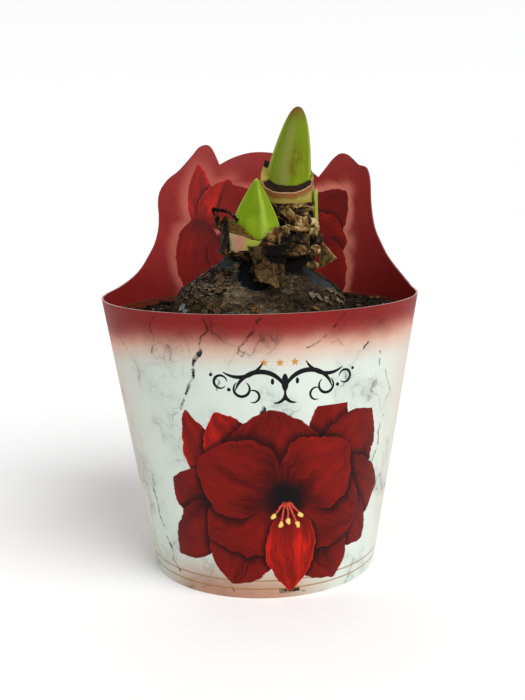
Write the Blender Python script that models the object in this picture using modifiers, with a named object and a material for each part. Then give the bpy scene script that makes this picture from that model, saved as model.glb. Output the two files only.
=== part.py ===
"""A potted amaryllis bulb in a printed card sleeve, in metres, +Z up.

The origin is on the pot's axis, at the surface that the pot and the sleeve stand on.
The sleeve's tall back panel is towards +Y, and the plant is looked at from -Y.
"""

import math
import random

import bmesh
import bpy
from mathutils import Vector, noise

MM = 0.001
GAP = 0.3 * MM  # between pieces that touch
CUT_GAP = 0.5 * MM  # round a cutter's piece
WELD = 0.001 * MM

# The card sleeve: a cone whose back rises into a die-cut panel
CARD = 0.8 * MM
SLEEVE_FOOT_RADIUS = 52 * MM
SLEEVE_RIM_RADIUS = 72 * MM
SLEEVE_RIM_HEIGHT = 126.7 * MM
FRONT_COLUMNS = 24
LAP_ANGLES = (8.0, 17.0)  # the glued lap, in degrees from the back's middle
LAP_PROUD = 0.6 * MM
# The panel's top edge: degrees from the back's middle towards +X, and height in millimetres
LEFT_PEAK = (
    (-90, 126.7), (-76, 127.2), (-67, 128.8), (-60, 131.2), (-54.2, 135), (-49.4, 140.4),
    (-45.4, 146.2), (-42.6, 153.4), (-41.4, 159.8), (-40.9, 166.6), (-39.3, 172.5), (-35.4, 178.2),
    (-30.7, 182.4), (-27.4, 186.4), (-24.2, 190.8), (-21.5, 194.6), (-18.7, 195.8), (-16.6, 193.4), (-14.3, 185.4),
)
MIDDLE_DOME = ((-14.3, 185.4), (-9, 189), (-3, 191.3), (3, 191.5), (9.5, 189.8), (16.4, 185.2), (23.7, 177.9))
RIGHT_PEAK = (
    (23.7, 177.9), (26.2, 182), (29.2, 187), (32, 189.7), (34.8, 189.3), (37.6, 186.7), (40.2, 183.9),
    (42.8, 183), (44.6, 181.1), (46.2, 175.6), (47.4, 166.7), (49, 158.8), (51.2, 151.9), (54.6, 146),
    (59.5, 139.6), (66, 134.4), (74, 130.2), (83, 127.4), (90, 126.7),
)
PANEL_STEPS = 2  # columns between two of these points

# The plastic growing pot
POT_HEIGHT = 119.5 * MM
POT_FOOT_RADIUS = 48.2 * MM
POT_WALL = 1.4 * MM
POT_BAND = 11.5 * MM  # the rim's height
POT_STEP = 2.2 * MM  # how far the rim stands out over the wall
POT_FOOT_CHAMFER = 1.6 * MM
POT_SEGMENTS = 48
DRAIN_HOLES = 8
DRAIN_RADIUS = 4.2 * MM
DRAIN_CIRCLE = 35 * MM

# The soil
SOIL_EDGE = 117.2 * MM
SOIL_TILT = 1.2 * MM  # how much higher it lies at the right than on average
SOIL_MIDDLE = 118.2 * MM
SOIL_ROUGH = 1.1 * MM
SOIL_SEGMENTS = 40
SOIL_RINGS = 11  # from its edge to its middle

# The bulb: height and radius in millimetres, from its root plate to its neck
BULB_PROFILE = (
    (60, 0), (60.4, 10), (62, 15), (65.5, 21), (71, 29), (78, 35), (87, 39.4), (97, 41.2), (107, 41.4),
    (115, 40.8), (121, 39.6), (126, 37.4), (129.6, 34.6), (132.7, 30.6), (135.6, 26.2), (138.2, 22.8),
    (140.6, 21.2), (143.4, 20.9), (145.6, 20.4), (146.4, 18.8), (146.4, 0),
)
BULB_WIDEST = 100 * MM  # the height at which it is widest
BULB_SEGMENTS = 40
BULB_RINGS = 30
BULB_WRINKLE = 0.55 * MM
NECK_LEAN = 4.6 * MM  # how far the neck stands to +X of the bulb's middle
NECK_LEAN_HEIGHTS = (137 * MM, 144 * MM)
NECK_BULGES = ((238, 2.8 * MM), (5, 1.8 * MM))  # degrees, and how far the neck swells there
NECK_TOP = 146.4 * MM
NECK_MIDDLE = Vector((NECK_LEAN, 0.0, 0.0))
ROOTS = 7
ROOT_STEPS = 5
ROOT_RADIUS = 2.1 * MM
ROOT_PLATE = 62.5 * MM

# The dried scales round the neck: a base, and blades round the neck's middle. Each blade has its two
# angles in degrees, its section as radius and height in millimetres from root to tip, its taper and
# how ragged its edge is
SCALE_THICKNESS = 0.9 * MM
SCALE_BASE = ((0, 146.7), (19.3, 146.7), (20.4, 148), (20.4, 151), (18.8, 154.4), (13, 155.4), (0, 155.4))
SCALE_SEGMENTS = 30
MAIN_FLOOR = 150 * MM  # the main shoot stands in a socket this high
SCALES = {
    "collar_fold": (-74, -12, ((17, 149.4), (20.4, 150.8), (23.2, 149.6), (24.2, 146.4), (23.6, 142.8)), 0.1, 0.16),
    "front_right": (-84, -40, ((18, 148), (19.9, 151), (19.9, 155), (19.3, 159.6)), 0.35, 0.22),
    "right_fold": (-36, 20, ((17, 148.4), (20.8, 148.2), (23.2, 150), (23.3, 155.4)), 0.25, 0.25),
    "right_back": (26, 72, ((17, 149), (21.4, 150.6), (22.2, 156), (21.4, 163)), 0.50, 0.25),
    "back": (66, 112, ((15.5, 149), (18.4, 153), (18.4, 160), (17.6, 167)), 0.50, 0.22),
    "back_left": (104, 150, ((16, 149), (19, 153), (19.2, 159), (18.2, 164)), 0.45, 0.25),
    "left": (140, 180, ((17, 149), (20.4, 152), (21.0, 158), (20.4, 162.5)), 0.45, 0.25),
    "left_front": (170, 206, ((18, 148), (20.6, 150), (21.6, 155), (21.2, 161)), 0.40, 0.2),
}
SCALE_COLUMNS = 6
SCALE_ROWS = 5
SCALE_CRUMPLE = 0.55 * MM
# The torn tunic that hangs over the bulb's shoulder in front, with pointed lobes
SKIRT_ANGLES = (-109, -78)
SKIRT_SECTION = ((21.8, 149.4), (23.6, 146.2), (24.4, 142.4), (27.8, 138.2), (31.4, 135.4), (35.4, 132.4))
SKIRT_LOBES = (
    (0, 0.3), (0.1, 0.6), (0.24, 0.7), (0.46, 0.88), (0.56, 0.74), (0.7, 1), (0.84, 0.84), (0.93, 0.62), (1, 0.5),
)
# A flap of tunic that stands out at the right: X, Y, lower and upper height in millimetres
SIDE_FLAP = (
    (22.5, -7.0, 147, 151.2), (26.8, -8.6, 142, 151), (30.2, -9.8, 141.6, 150.2), (33.2, -10.4, 142.6, 147.8),
    (35.6, -10.6, 144.6, 145.8),
)
# A dark scale that curls into a loop at the left, and its width
CURL = (
    (-15.4, -3.6, 154), (-13.7, -4.8, 159), (-11.0, -7.0, 162), (-12.2, -7.6, 164.6), (-15.6, -7.6, 166.2),
    (-18.8, -7.4, 165.4), (-19.8, -7.0, 162.6), (-18.0, -6.0, 160), (-16.0, -4.8, 156),
)
CURL_WIDTH = 3.6 * MM

# The two shoots, each with its buds and leaf bases round its own axis
MAIN_AXIS = Vector((13.4 * MM, 2.2 * MM, 0.0))
SECOND_AXIS = Vector((-1.2 * MM, -13.0 * MM, 0.0))
MAIN_FOOT = MAIN_FLOOR + GAP
SECOND_FOOT = NECK_TOP + GAP

# A bud's height, half width, half depth and middle, in millimetres
BUD_PROFILE = (
    (MAIN_FOOT / MM, 7.5, 5.6, 13.9), (152, 8.6, 6.6, 13.9), (160, 9.4, 7.3, 14.0), (170, 9.9, 7.8, 14.2),
    (180.7, 9.9, 7.8, 14.5), (190.6, 8.3, 6.8, 16.0), (199.4, 6.2, 5.3, 17.4), (204, 4.7, 4.2, 18.1),
    (207, 3.3, 3.1, 18.5), (209, 1.8, 1.7, 18.8), (209.8, 0, 0, 18.9),
)
SECOND_BUD_PROFILE = (
    (SECOND_FOOT / MM, 6.0, 4.0, 0), (150, 8.2, 5.1, 0), (156, 9.6, 5.8, 0), (160, 9.7, 5.9, 0),
    (165, 7.9, 5.2, 0.1), (170, 5.4, 4.0, 0.3), (174.5, 2.9, 2.5, 0.6), (177.6, 1.1, 1.1, 0.8),
    (178.6, 0, 0, 0.9),
)
BUD_SEGMENTS = 28
BUD_RINGS = 18

# The leaf bases are oval tubes: middle in X, half width and half depth outside and inside
INNER_OUTSIDE = (13.1 * MM, 12.5 * MM, 10.4 * MM)
INNER_INSIDE = (14.2 * MM, 10.5 * MM, 8.5 * MM)
INNER_CUT = 179.2 * MM  # height of the cut over the tube's axis
INNER_SLANT = 0.60  # rise of the cut towards +Y
INNER_BACK = 2.2 * MM  # how much higher yet it is at the back
INNER_TOOTH = (153, 9, 4.6 * MM)  # a pointed bit left standing: its angle and spread in degrees, its height
DRY_HALF = (13.9 * MM, 11.9 * MM)
DRY_WALL = 0.8 * MM
DRY_CUT = 168.2 * MM
DRY_SLANT = 0.10
DRY_ANGLES = (42, 316)
STRIP_ANGLES = (-39, 37)
STRIP_TOP = 173.6 * MM
SECOND_BASE_HALF = (12.2 * MM, 8.3 * MM)
SECOND_BASE_WALL = 1.3 * MM
SECOND_BASE_ANGLES = (-212, -36)
# Its top edge, as shares of the way round and heights in millimetres
SECOND_BASE_EDGE = (
    (0, 158), (0.12, 160.4), (0.22, 161.2), (0.34, 160.8), (0.48, 158.8), (0.57, 156), (0.66, 153.2), (0.78, 152.4),
    (0.9, 154.2), (1, 155.6),
)

COLOURS = {
    "printed_card": (0.80, 0.74, 0.71),
    "terracotta_plastic": (0.47, 0.17, 0.07),
    "peat": (0.022, 0.017, 0.013),
    "bulb_tunic": (0.20, 0.165, 0.125),
    "bud_green": (0.28, 0.42, 0.05),
    "leaf_base_pale": (0.62, 0.56, 0.25),
    "leaf_base_blush": (0.60, 0.44, 0.33),
    "dry_scale": (0.20, 0.125, 0.06),
}


def clear_scene():
    for thing in list(bpy.data.objects):
        bpy.data.objects.remove(thing, do_unlink=True)


def new_collection(name):
    collection = bpy.data.collections.new(name)
    bpy.context.scene.collection.children.link(collection)
    return collection


def material(name, roughness=0.6):
    made = bpy.data.materials.get(name)
    if made is None:
        made = bpy.data.materials.new(name)
        made.use_nodes = True
        shader = made.node_tree.nodes["Principled BSDF"]
        shader.inputs["Base Color"].default_value = (*COLOURS[name], 1.0)
        shader.inputs["Roughness"].default_value = roughness
        shader.inputs["Metallic"].default_value = 0.0
    return made


def add_object(name, form, collection, finish=None):
    """Makes an object of a bmesh, shaded smooth but for its sharp edges."""
    mesh = bpy.data.meshes.new(name)
    bmesh.ops.recalc_face_normals(form, faces=form.faces)
    form.to_mesh(mesh)
    form.free()
    mesh.shade_smooth()
    mesh.set_sharp_from_angle(angle=math.radians(40))
    if finish is not None:
        mesh.materials.append(finish)
    made = bpy.data.objects.new(name, mesh)
    collection.objects.link(made)
    return made


def as_cutter(made):
    made.hide_render = True
    made.display_type = "WIRE"
    return made


def applied(made):
    """Puts the modifiers of an object into its mesh."""
    bpy.context.view_layer.update()
    graph = bpy.context.evaluated_depsgraph_get()
    mesh = bpy.data.meshes.new_from_object(made.evaluated_get(graph))
    made.modifiers.clear()
    made.data = mesh
    return made


def drop_crumbs(made):
    """Keeps the largest of the bodies that a cut has left, and drops the crumbs."""
    form = bmesh.new()
    form.from_mesh(made.data)
    left = set(form.verts)
    bodies = []
    while left:
        body = {left.pop()}
        reached = list(body)
        while reached:
            for edge in reached.pop().link_edges:
                for vertex in edge.verts:
                    if vertex in left:
                        left.remove(vertex)
                        body.add(vertex)
                        reached.append(vertex)
        bodies.append(body)
    bodies.sort(key=len)
    crumbs = [vertex for body in bodies[:-1] for vertex in body]
    bmesh.ops.delete(form, geom=crumbs, context="VERTS")
    form.to_mesh(made.data)
    form.free()


def boolean(made, operation, other):
    """Cuts or joins with an object, or with all of a collection's objects."""
    change = made.modifiers.new(f"{operation.lower()}_{other.name}", "BOOLEAN")
    change.operation = operation
    change.solver = "EXACT"
    if isinstance(other, bpy.types.Collection):
        change.operand_type = "COLLECTION"
        change.collection = other
    else:
        change.object = other


def join_all(made, pieces):
    """Joins every object of a collection to one object, then removes them."""
    boolean(made, "UNION", pieces)
    applied(made)
    for piece in list(pieces.objects):
        bpy.data.objects.remove(piece, do_unlink=True)
    bpy.data.collections.remove(pieces)
    return made


def smooth_line(points, steps):
    """A smooth line through points, with steps stretches between each two (a Catmull-Rom spline)."""
    line = []
    for i in range(len(points) - 1):
        before = points[max(i - 1, 0)]
        start, end = points[i], points[i + 1]
        after = points[min(i + 2, len(points) - 1)]
        for k in range(steps):
            t = k / steps
            line.append(tuple(
                b + 0.5 * t * ((c - a) + t * ((2 * a - 5 * b + 4 * c - d) + t * (3 * b - 3 * c + d - a)))
                for a, b, c, d in zip(before, start, end, after)
            ))
    line.append(tuple(points[-1]))
    return line


def along(line, share):
    """The point at a share, from 0 to 1, of a line's points."""
    place = min(max(share, 0.0), 1.0) * (len(line) - 1)
    low = min(int(place), len(line) - 2)
    part = place - low
    return tuple(a + (b - a) * part for a, b in zip(line[low], line[low + 1]))


def ease(low, high, value):
    """0 below low, 1 above high, and smooth between them."""
    t = min(max((value - low) / (high - low), 0.0), 1.0)
    return t * t * (3 - 2 * t)


def rough(point, scale, seed=0.0):
    """Smooth noise from -1 to 1 at a point, with lumps of about the given size."""
    return noise.noise(point / scale + Vector((seed, 2.7 * seed, -1.3 * seed)))


def solid_form(name, segments, rings, place, collection, finish=None):
    """A closed form made from a UV sphere: place(azimuth, share) gives each point, share 0 at the foot."""
    form = bmesh.new()
    bmesh.ops.create_uvsphere(form, u_segments=segments, v_segments=rings, radius=1.0)
    for vertex in form.verts:
        azimuth = math.atan2(vertex.co.y, vertex.co.x)
        share = 0.5 + math.asin(min(max(vertex.co.z, -1.0), 1.0)) / math.pi
        vertex.co = place(azimuth, share)
    return add_object(name, form, collection, finish)


def sheet_form(name, columns, rows, place, thickness, collection, finish=None, closed=False, offset=-1.0):
    """A bent sheet with a thickness, made from a grid: place(u, v) gives each point, u and v from 0 to 1."""
    form = bmesh.new()
    bmesh.ops.create_grid(form, x_segments=columns, y_segments=rows, size=0.5)
    for vertex in form.verts:
        vertex.co = place(vertex.co.x + 0.5, vertex.co.y + 0.5)
    if closed:
        bmesh.ops.remove_doubles(form, verts=form.verts, dist=WELD)
    made = add_object(name, form, collection, finish)
    wall = made.modifiers.new("thickness", "SOLIDIFY")
    wall.thickness = thickness
    wall.offset = offset
    wall.use_even_offset = True
    return made


def sleeve_radius(height):
    return SLEEVE_FOOT_RADIUS + (SLEEVE_RIM_RADIUS - SLEEVE_FOOT_RADIUS) * height / SLEEVE_RIM_HEIGHT


def on_sleeve(degrees, height, proud=0.0):
    """A point on the sleeve's outside, at degrees from the back's middle towards +X."""
    turn = math.radians(degrees)
    radius = sleeve_radius(height) + proud
    return Vector((radius * math.sin(turn), radius * math.cos(turn), height))


def sleeve_edge():
    """The sleeve's top edge all round, as degrees and heights in metres."""
    edge = []
    for part in (LEFT_PEAK, MIDDLE_DOME, RIGHT_PEAK):
        edge += smooth_line(part, PANEL_STEPS)[:-1]
    for k in range(FRONT_COLUMNS + 1):
        edge.append((90 + 180 * k / FRONT_COLUMNS, SLEEVE_RIM_HEIGHT / MM))
    return [(degrees, height * MM) for degrees, height in edge]


def height_at(edge, place):
    """An edge's height at a place along it, straight between its points."""
    for (low, start), (high, end) in zip(edge, edge[1:]):
        if low <= place <= high:
            return start + (end - start) * (place - low) / (high - low)
    return edge[-1][1]


def build_sleeve(collection, helpers):
    """One sheet of card rolled into a cone and glued on itself in a lap at the back."""
    edge = sleeve_edge()
    rows = 2

    def place(u, v):
        degrees, top = edge[round(u * (len(edge) - 1))]
        return on_sleeve(degrees, top * v)

    sleeve = sheet_form(
        "sleeve", len(edge) - 1, rows, place, CARD, collection, material("printed_card", 0.35), closed=True
    )
    low, high = LAP_ANGLES

    def lap_place(u, v):
        degrees = low + (high - low) * u
        return on_sleeve(degrees, GAP + (height_at(edge, degrees) - 2 * GAP) * v, LAP_PROUD)

    lap = sheet_form("lap", 4, rows, lap_place, LAP_PROUD + 0.5 * CARD, helpers)
    boolean(sleeve, "UNION", lap)
    applied(sleeve)
    bpy.data.objects.remove(lap, do_unlink=True)
    return sleeve


def pot_outer_radius(height):
    """The growing pot's outside below its rim."""
    top = sleeve_radius(POT_HEIGHT - POT_BAND) - CARD - GAP - POT_STEP
    return POT_FOOT_RADIUS + (top - POT_FOOT_RADIUS) * height / (POT_HEIGHT - POT_BAND)


def rim_radius(height):
    """The rim's outside follows the sleeve, which it wedges open."""
    return sleeve_radius(height) - CARD - 1.3 * GAP


def pot_inner_radius(height):
    """The growing pot's inside, which widens within the rim band."""
    band = POT_HEIGHT - POT_BAND
    wall = pot_outer_radius(min(height, band)) - POT_WALL
    mouth = rim_radius(POT_HEIGHT) - POT_WALL
    return wall + (mouth - wall) * ease(band, POT_HEIGHT, height)


def build_pot(collection, helpers):
    """The terracotta-coloured plastic growing pot, turned, with drain holes in its floor."""
    band = POT_HEIGHT - POT_BAND
    profile = [
        (rim_radius(POT_HEIGHT) - POT_WALL, POT_HEIGHT),
        (rim_radius(POT_HEIGHT) - 0.4 * MM, POT_HEIGHT),
        (rim_radius(POT_HEIGHT - 0.6 * MM), POT_HEIGHT - 0.6 * MM),
        (rim_radius(band), band),
        (pot_outer_radius(band) + 0.2 * MM, band - 0.6 * MM),
        (pot_outer_radius(POT_FOOT_CHAMFER), POT_FOOT_CHAMFER),
        (POT_FOOT_RADIUS - POT_FOOT_CHAMFER, 0.0),
        (0.0, 0.0),
        (0.0, POT_WALL),
        (pot_inner_radius(POT_FOOT_CHAMFER), POT_WALL),
        (pot_inner_radius(band - 0.1 * MM), band - 0.1 * MM),
        (pot_inner_radius(band + 0.5 * POT_BAND), band + 0.5 * POT_BAND),
    ]
    form = bmesh.new()
    points = [form.verts.new((radius, 0.0, height)) for radius, height in profile]
    for k, point in enumerate(points):
        if k != 7:
            form.edges.new((point, points[(k + 1) % len(points)]))
    mesh = bpy.data.meshes.new("nursery_pot")
    form.to_mesh(mesh)
    form.free()
    mesh.materials.append(material("terracotta_plastic", 0.45))
    pot = bpy.data.objects.new("nursery_pot", mesh)
    collection.objects.link(pot)
    turn = pot.modifiers.new("turn", "SCREW")
    turn.steps = POT_SEGMENTS
    turn.render_steps = POT_SEGMENTS
    turn.use_merge_vertices = True
    turn.merge_threshold = 0.01 * MM
    turn.use_normal_calculate = True
    for k in range(DRAIN_HOLES):
        turned = 2 * math.pi * (k + 0.5) / DRAIN_HOLES
        bore = bmesh.new()
        bmesh.ops.create_cone(
            bore, cap_ends=True, segments=12, radius1=DRAIN_RADIUS, radius2=DRAIN_RADIUS, depth=4 * POT_WALL
        )
        cutter = as_cutter(add_object(f"drain_{k + 1}", bore, helpers))
        cutter.location = (DRAIN_CIRCLE * math.cos(turned), DRAIN_CIRCLE * math.sin(turned), 0.0)
        boolean(pot, "DIFFERENCE", cutter)
    return pot


BULB_LINE = smooth_line(BULB_PROFILE, 3)


def neck_bulge(degrees):
    """How far the neck swells out of round at an angle."""
    return sum(
        bulge * max(0.0, math.cos(math.radians(degrees - middle))) ** 3 for middle, bulge in NECK_BULGES
    )


def bulb_place(azimuth, share, grow=0.0):
    """A point on the bulb's wrinkled skin, moved outwards by grow to make room for it."""
    height, radius = (value * MM for value in along(BULB_LINE, share))
    around = Vector((math.cos(azimuth), math.sin(azimuth), 0.0))
    point = around * radius + Vector((0.0, 0.0, height))
    body = ease(66 * MM, 80 * MM, height) * (1 - ease(139 * MM, 143 * MM, height))
    folds = rough(Vector((point.x, point.y, 2.6 * point.z)), 6 * MM, 8.0)
    swell = BULB_WRINKLE * body * (1.3 * rough(point, 13 * MM, 3.0) + 0.8 * folds)
    swell += neck_bulge(math.degrees(azimuth)) * ease(136 * MM, 142 * MM, height)
    point += around * swell * min(radius / (16 * MM), 1.0)
    steep = bulb_steepness(share)
    level = 1.0 if height > BULB_WIDEST else -1.0
    point += grow * (around * steep + Vector((0.0, 0.0, level * (1.0 - 0.6 * steep))))
    point.x += NECK_LEAN * ease(*NECK_LEAN_HEIGHTS, height)
    return point


def bulb_steepness(share):
    """1 where the bulb's skin is upright, towards 0 where it is level."""
    low, high = along(BULB_LINE, share - 0.02), along(BULB_LINE, share + 0.02)
    rise, run = abs(high[0] - low[0]), abs(high[1] - low[1])
    return rise / max(math.hypot(rise, run), 1e-9)


def root_curve(name, index, grow, collection):
    """One fleshy root, from the root plate down and out into the soil."""
    pick = random.Random(40 + index)
    turned = 2 * math.pi * (index + pick.uniform(-0.2, 0.2)) / ROOTS
    reach = pick.uniform(20, 33) * MM
    depth = pick.uniform(30, 46) * MM
    start = 9.5 * MM
    data = bpy.data.curves.new(name, "CURVE")
    data.dimensions = "3D"
    data.bevel_depth = ROOT_RADIUS + grow
    data.bevel_resolution = 1
    data.use_fill_caps = True
    places = []
    for k in range(ROOT_STEPS + 1):
        t = k / ROOT_STEPS
        radius = start + (reach - start) * t ** 0.8
        bend = turned + 0.4 * math.sin(2.4 * t + index)
        drop = ROOT_PLATE - 0.3 * MM * (1 - t) - depth * t ** 1.3
        places.append(Vector((radius * math.cos(bend), radius * math.sin(bend), drop)))
    places[-1] += (places[-1] - places[-2]).normalized() * grow
    line = data.splines.new("POLY")
    line.points.add(ROOT_STEPS)
    for k, place in enumerate(places):
        line.points[k].co = (*place, 1.0)
        line.points[k].radius = 1.0 - 0.45 * k / ROOT_STEPS
    return meshed_curve(name, data, collection)


def meshed_curve(name, data, collection):
    """Turns a curve into a closed mesh object of the same name."""
    holder = bpy.data.objects.new(name, data)
    collection.objects.link(holder)
    bpy.context.view_layer.update()
    mesh = bpy.data.meshes.new_from_object(holder.evaluated_get(bpy.context.evaluated_depsgraph_get()))
    bpy.data.objects.remove(holder, do_unlink=True)
    form = bmesh.new()
    form.from_mesh(mesh)
    bmesh.ops.remove_doubles(form, verts=form.verts, dist=WELD)
    return add_object(name, form, collection)


def build_bulb(collection):
    """The bulb, with its neck, root plate and roots, which grew as one piece."""
    bulb = solid_form("bulb", BULB_SEGMENTS, BULB_RINGS, bulb_place, collection, material("bulb_tunic", 0.8))
    roots = new_collection("roots")
    for index in range(ROOTS):
        root_curve(f"root_{index + 1}", index, 0.0, roots)
    return join_all(bulb, roots)


def grown_bulb(name, helpers):
    """The bulb grown a little, to cut room for it."""
    return solid_form(
        name, BULB_SEGMENTS, BULB_RINGS, lambda azimuth, share: bulb_place(azimuth, share, CUT_GAP), helpers
    )


def build_soil(collection, helpers):
    """Potting soil that fills the pot round the bulb and its roots."""

    floor = POT_WALL + GAP
    band = POT_HEIGHT - POT_BAND
    rings = SOIL_RINGS + 3

    def place(azimuth, share):
        ring = round(share * rings)
        around = Vector((math.cos(azimuth), math.sin(azimuth), 0.0))
        edge = SOIL_EDGE + SOIL_TILT * math.cos(azimuth - 0.5)
        if ring <= 1:
            return around * ring * (pot_inner_radius(POT_FOOT_CHAMFER) - 2 * GAP) + Vector((0.0, 0.0, floor))
        if ring == 2:
            return around * (pot_inner_radius(band - 0.1 * MM) - 1.6 * GAP) + Vector((0.0, 0.0, band))
        outwards = (rings - ring) / SOIL_RINGS
        point = around * (pot_inner_radius(edge) - 1.8 * GAP) * outwards
        lumps = rough(point, 9 * MM, 5.0) + 0.6 * rough(point, 4.5 * MM, 11.0)
        height = edge + (SOIL_MIDDLE - edge) * ease(1.0, 0.6, outwards)
        height += SOIL_ROUGH * lumps * ease(1.0, 0.88, outwards)
        return point + Vector((0.0, 0.0, height))

    soil = solid_form("soil", SOIL_SEGMENTS, rings, place, collection, material("peat", 0.95))
    socket = grown_bulb("bulb_socket", helpers)
    ways = new_collection("root_ways")
    for index in range(ROOTS):
        root_curve(f"root_way_{index + 1}", index, CUT_GAP, ways)
    as_cutter(join_all(socket, ways))
    boolean(soil, "DIFFERENCE", socket)
    return soil


def bud_place(profile, middle_y, ridge=0.0, grow=0.0):
    """How a bud's points lie: an oval stem of changing width, with a ridge towards the front if asked."""
    line = smooth_line(profile, 3)

    def place(azimuth, share):
        height, wide, deep, middle = (value * MM for value in along(line, share))
        front = max(0.0, math.cos(azimuth + math.radians(68))) ** 6
        pleats = 0.02 * math.sin(9 * azimuth) * (1 if ridge else 0.6)
        fuller = 1.0 + pleats + ridge * front
        return Vector((
            middle + (wide * fuller + grow) * math.cos(azimuth),
            middle_y + (deep * fuller + grow) * math.sin(azimuth),
            height,
        ))

    return place


def build_buds(collection):
    finish = material("bud_green", 0.4)
    main = bud_place(BUD_PROFILE, MAIN_AXIS.y)
    solid_form("flower_bud", BUD_SEGMENTS, BUD_RINGS, main, collection, finish)
    profile = [(h, w, d, m + SECOND_AXIS.x / MM) for h, w, d, m in SECOND_BUD_PROFILE]
    second = bud_place(profile, SECOND_AXIS.y, ridge=0.22)
    solid_form("second_bud", BUD_SEGMENTS, BUD_RINGS, second, collection, finish)


def oval(axis, half, degrees, height):
    turn = math.radians(degrees)
    return Vector((axis.x + half[0] * math.cos(turn), axis.y + half[1] * math.sin(turn), height))


def crinkle(point, seed):
    """Dried-leaf crumpling, from about -1 to 1, stretched along the leaf."""
    folded = Vector((point.x, point.y, 1.6 * point.z))
    return 0.7 * rough(folded, 6 * MM, seed) + 0.5 * rough(folded, 3.2 * MM, seed + 4)


def build_inner_base(collection):
    """The green leaf base: an oval tube, thicker to the left, cut across on a slant, round the flower bud."""

    def place(u, v):
        inside = v > 0.5
        centre, wide, deep = INNER_INSIDE if inside else INNER_OUTSIDE
        at = oval(Vector((centre, MAIN_AXIS.y, 0.0)), (wide, deep), 360 * u, 0.0)
        middle, spread, height = INNER_TOOTH
        top = INNER_CUT + INNER_SLANT * (at.y - MAIN_AXIS.y) + 0.25 * MM * math.sin(5 * math.tau * u)
        top += INNER_BACK * ease(2 * MM, 10 * MM, at.y - MAIN_AXIS.y)
        top += height * math.exp(-((360 * u - middle) / spread) ** 2)
        rise = (1.0 - v) / 0.375 if inside else v / 0.375
        at.z = MAIN_FOOT + (top - MAIN_FOOT) * min(rise, 1.0)
        return at

    form = bmesh.new()
    bmesh.ops.create_grid(form, x_segments=54, y_segments=8, size=0.5)
    for vertex in form.verts:
        u, v = vertex.co.x + 0.5, vertex.co.y + 0.5
        if v > 0.99:
            u, v = u, 0.0
        vertex.co = place(u, v)
    bmesh.ops.remove_doubles(form, verts=form.verts, dist=WELD)
    return add_object("inner_leaf_base", form, collection, material("leaf_base_pale"))


def build_outer_bases(collection):
    """The dried leaf base round the green one, and the strip of a leaf that shows at its right."""

    def dry(u, v):
        degrees = DRY_ANGLES[0] + (DRY_ANGLES[1] - DRY_ANGLES[0]) * u
        at = oval(MAIN_AXIS, DRY_HALF, degrees, 0.0)
        top = DRY_CUT + DRY_SLANT * (at.y - MAIN_AXIS.y) + 0.5 * MM * math.sin(29 * u)
        height = MAIN_FOOT + (top - MAIN_FOOT) * v
        swell = 0.4 * MM * crinkle(Vector((at.x, at.y, height)), 2.0)
        return at + (at - MAIN_AXIS).normalized() * swell + Vector((0.0, 0.0, height))

    sheet_form("dry_leaf_base", 32, 7, dry, DRY_WALL, collection, material("dry_scale", 0.8))

    def strip(u, v):
        degrees = STRIP_ANGLES[0] + (STRIP_ANGLES[1] - STRIP_ANGLES[0]) * u
        top = STRIP_TOP - 5 * MM * abs(2 * u - 1) ** 5
        return oval(MAIN_AXIS, DRY_HALF, degrees, MAIN_FOOT + (top - MAIN_FOOT) * v)

    sheet_form("side_leaf_strip", 8, 4, strip, DRY_WALL, collection, material("leaf_base_pale"))


def build_second_base(collection):
    """The blush leaf base that wraps the second bud from its left and its front."""

    def place(u, v):
        low, high = SECOND_BASE_ANGLES
        top = height_at(SECOND_BASE_EDGE, u) * MM + 0.4 * MM * math.sin(25 * u)
        degrees = low + (high - low) * u
        return oval(SECOND_AXIS, SECOND_BASE_HALF, degrees, SECOND_FOOT + (top - SECOND_FOOT) * v)

    sheet_form("second_leaf_base", 24, 4, place, SECOND_BASE_WALL, collection, material("leaf_base_blush"))


def round_neck(degrees, radius, height):
    """A point round the neck's middle that follows the neck's swellings."""
    turn = math.radians(degrees)
    radius += neck_bulge(degrees) * ease(14 * MM, 19 * MM, radius)
    return NECK_MIDDLE + Vector((radius * math.cos(turn), radius * math.sin(turn), height))


def scale_form(name, index, collection):
    """One dried scale of the neck, from its root in the scales' base to its ragged tip."""
    low, high, section, taper, ragged = SCALES[name]
    line = smooth_line(section, 3)
    middle = 0.5 * (low + high)

    def place(u, v):
        teeth = (0.5 + 0.5 * math.sin(9 * u + 1.7 * index)) * (0.4 + 0.6 * math.sin(4 * u + index) ** 2)
        radius, height = (value * MM for value in along(line, v * (1.0 - ragged * teeth)))
        degrees = middle + (u - 0.5) * (high - low) * (1 - taper * v ** 1.5)
        point = round_neck(degrees, radius, height)
        swell = SCALE_CRUMPLE * crinkle(point, index) * ease(0.1, 0.5, v)
        return round_neck(degrees, radius + swell, height + 0.5 * swell)

    return sheet_form(name, SCALE_COLUMNS, SCALE_ROWS, place, SCALE_THICKNESS, collection)


def skirt_form(collection):
    """The torn tunic that hangs from the collar over the bulb's shoulder."""
    line = smooth_line(SKIRT_SECTION, 3)

    def place(u, v):
        radius, height = (value * MM for value in along(line, v * height_at(SKIRT_LOBES, u)))
        degrees = SKIRT_ANGLES[0] + (SKIRT_ANGLES[1] - SKIRT_ANGLES[0]) * u
        swell = 0.5 * MM * max(crinkle(round_neck(degrees, radius, height), 31.0), -0.4)
        return round_neck(degrees, radius + swell, height + 0.6 * swell)

    return sheet_form("skirt", 24, 7, place, SCALE_THICKNESS, collection)


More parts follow.
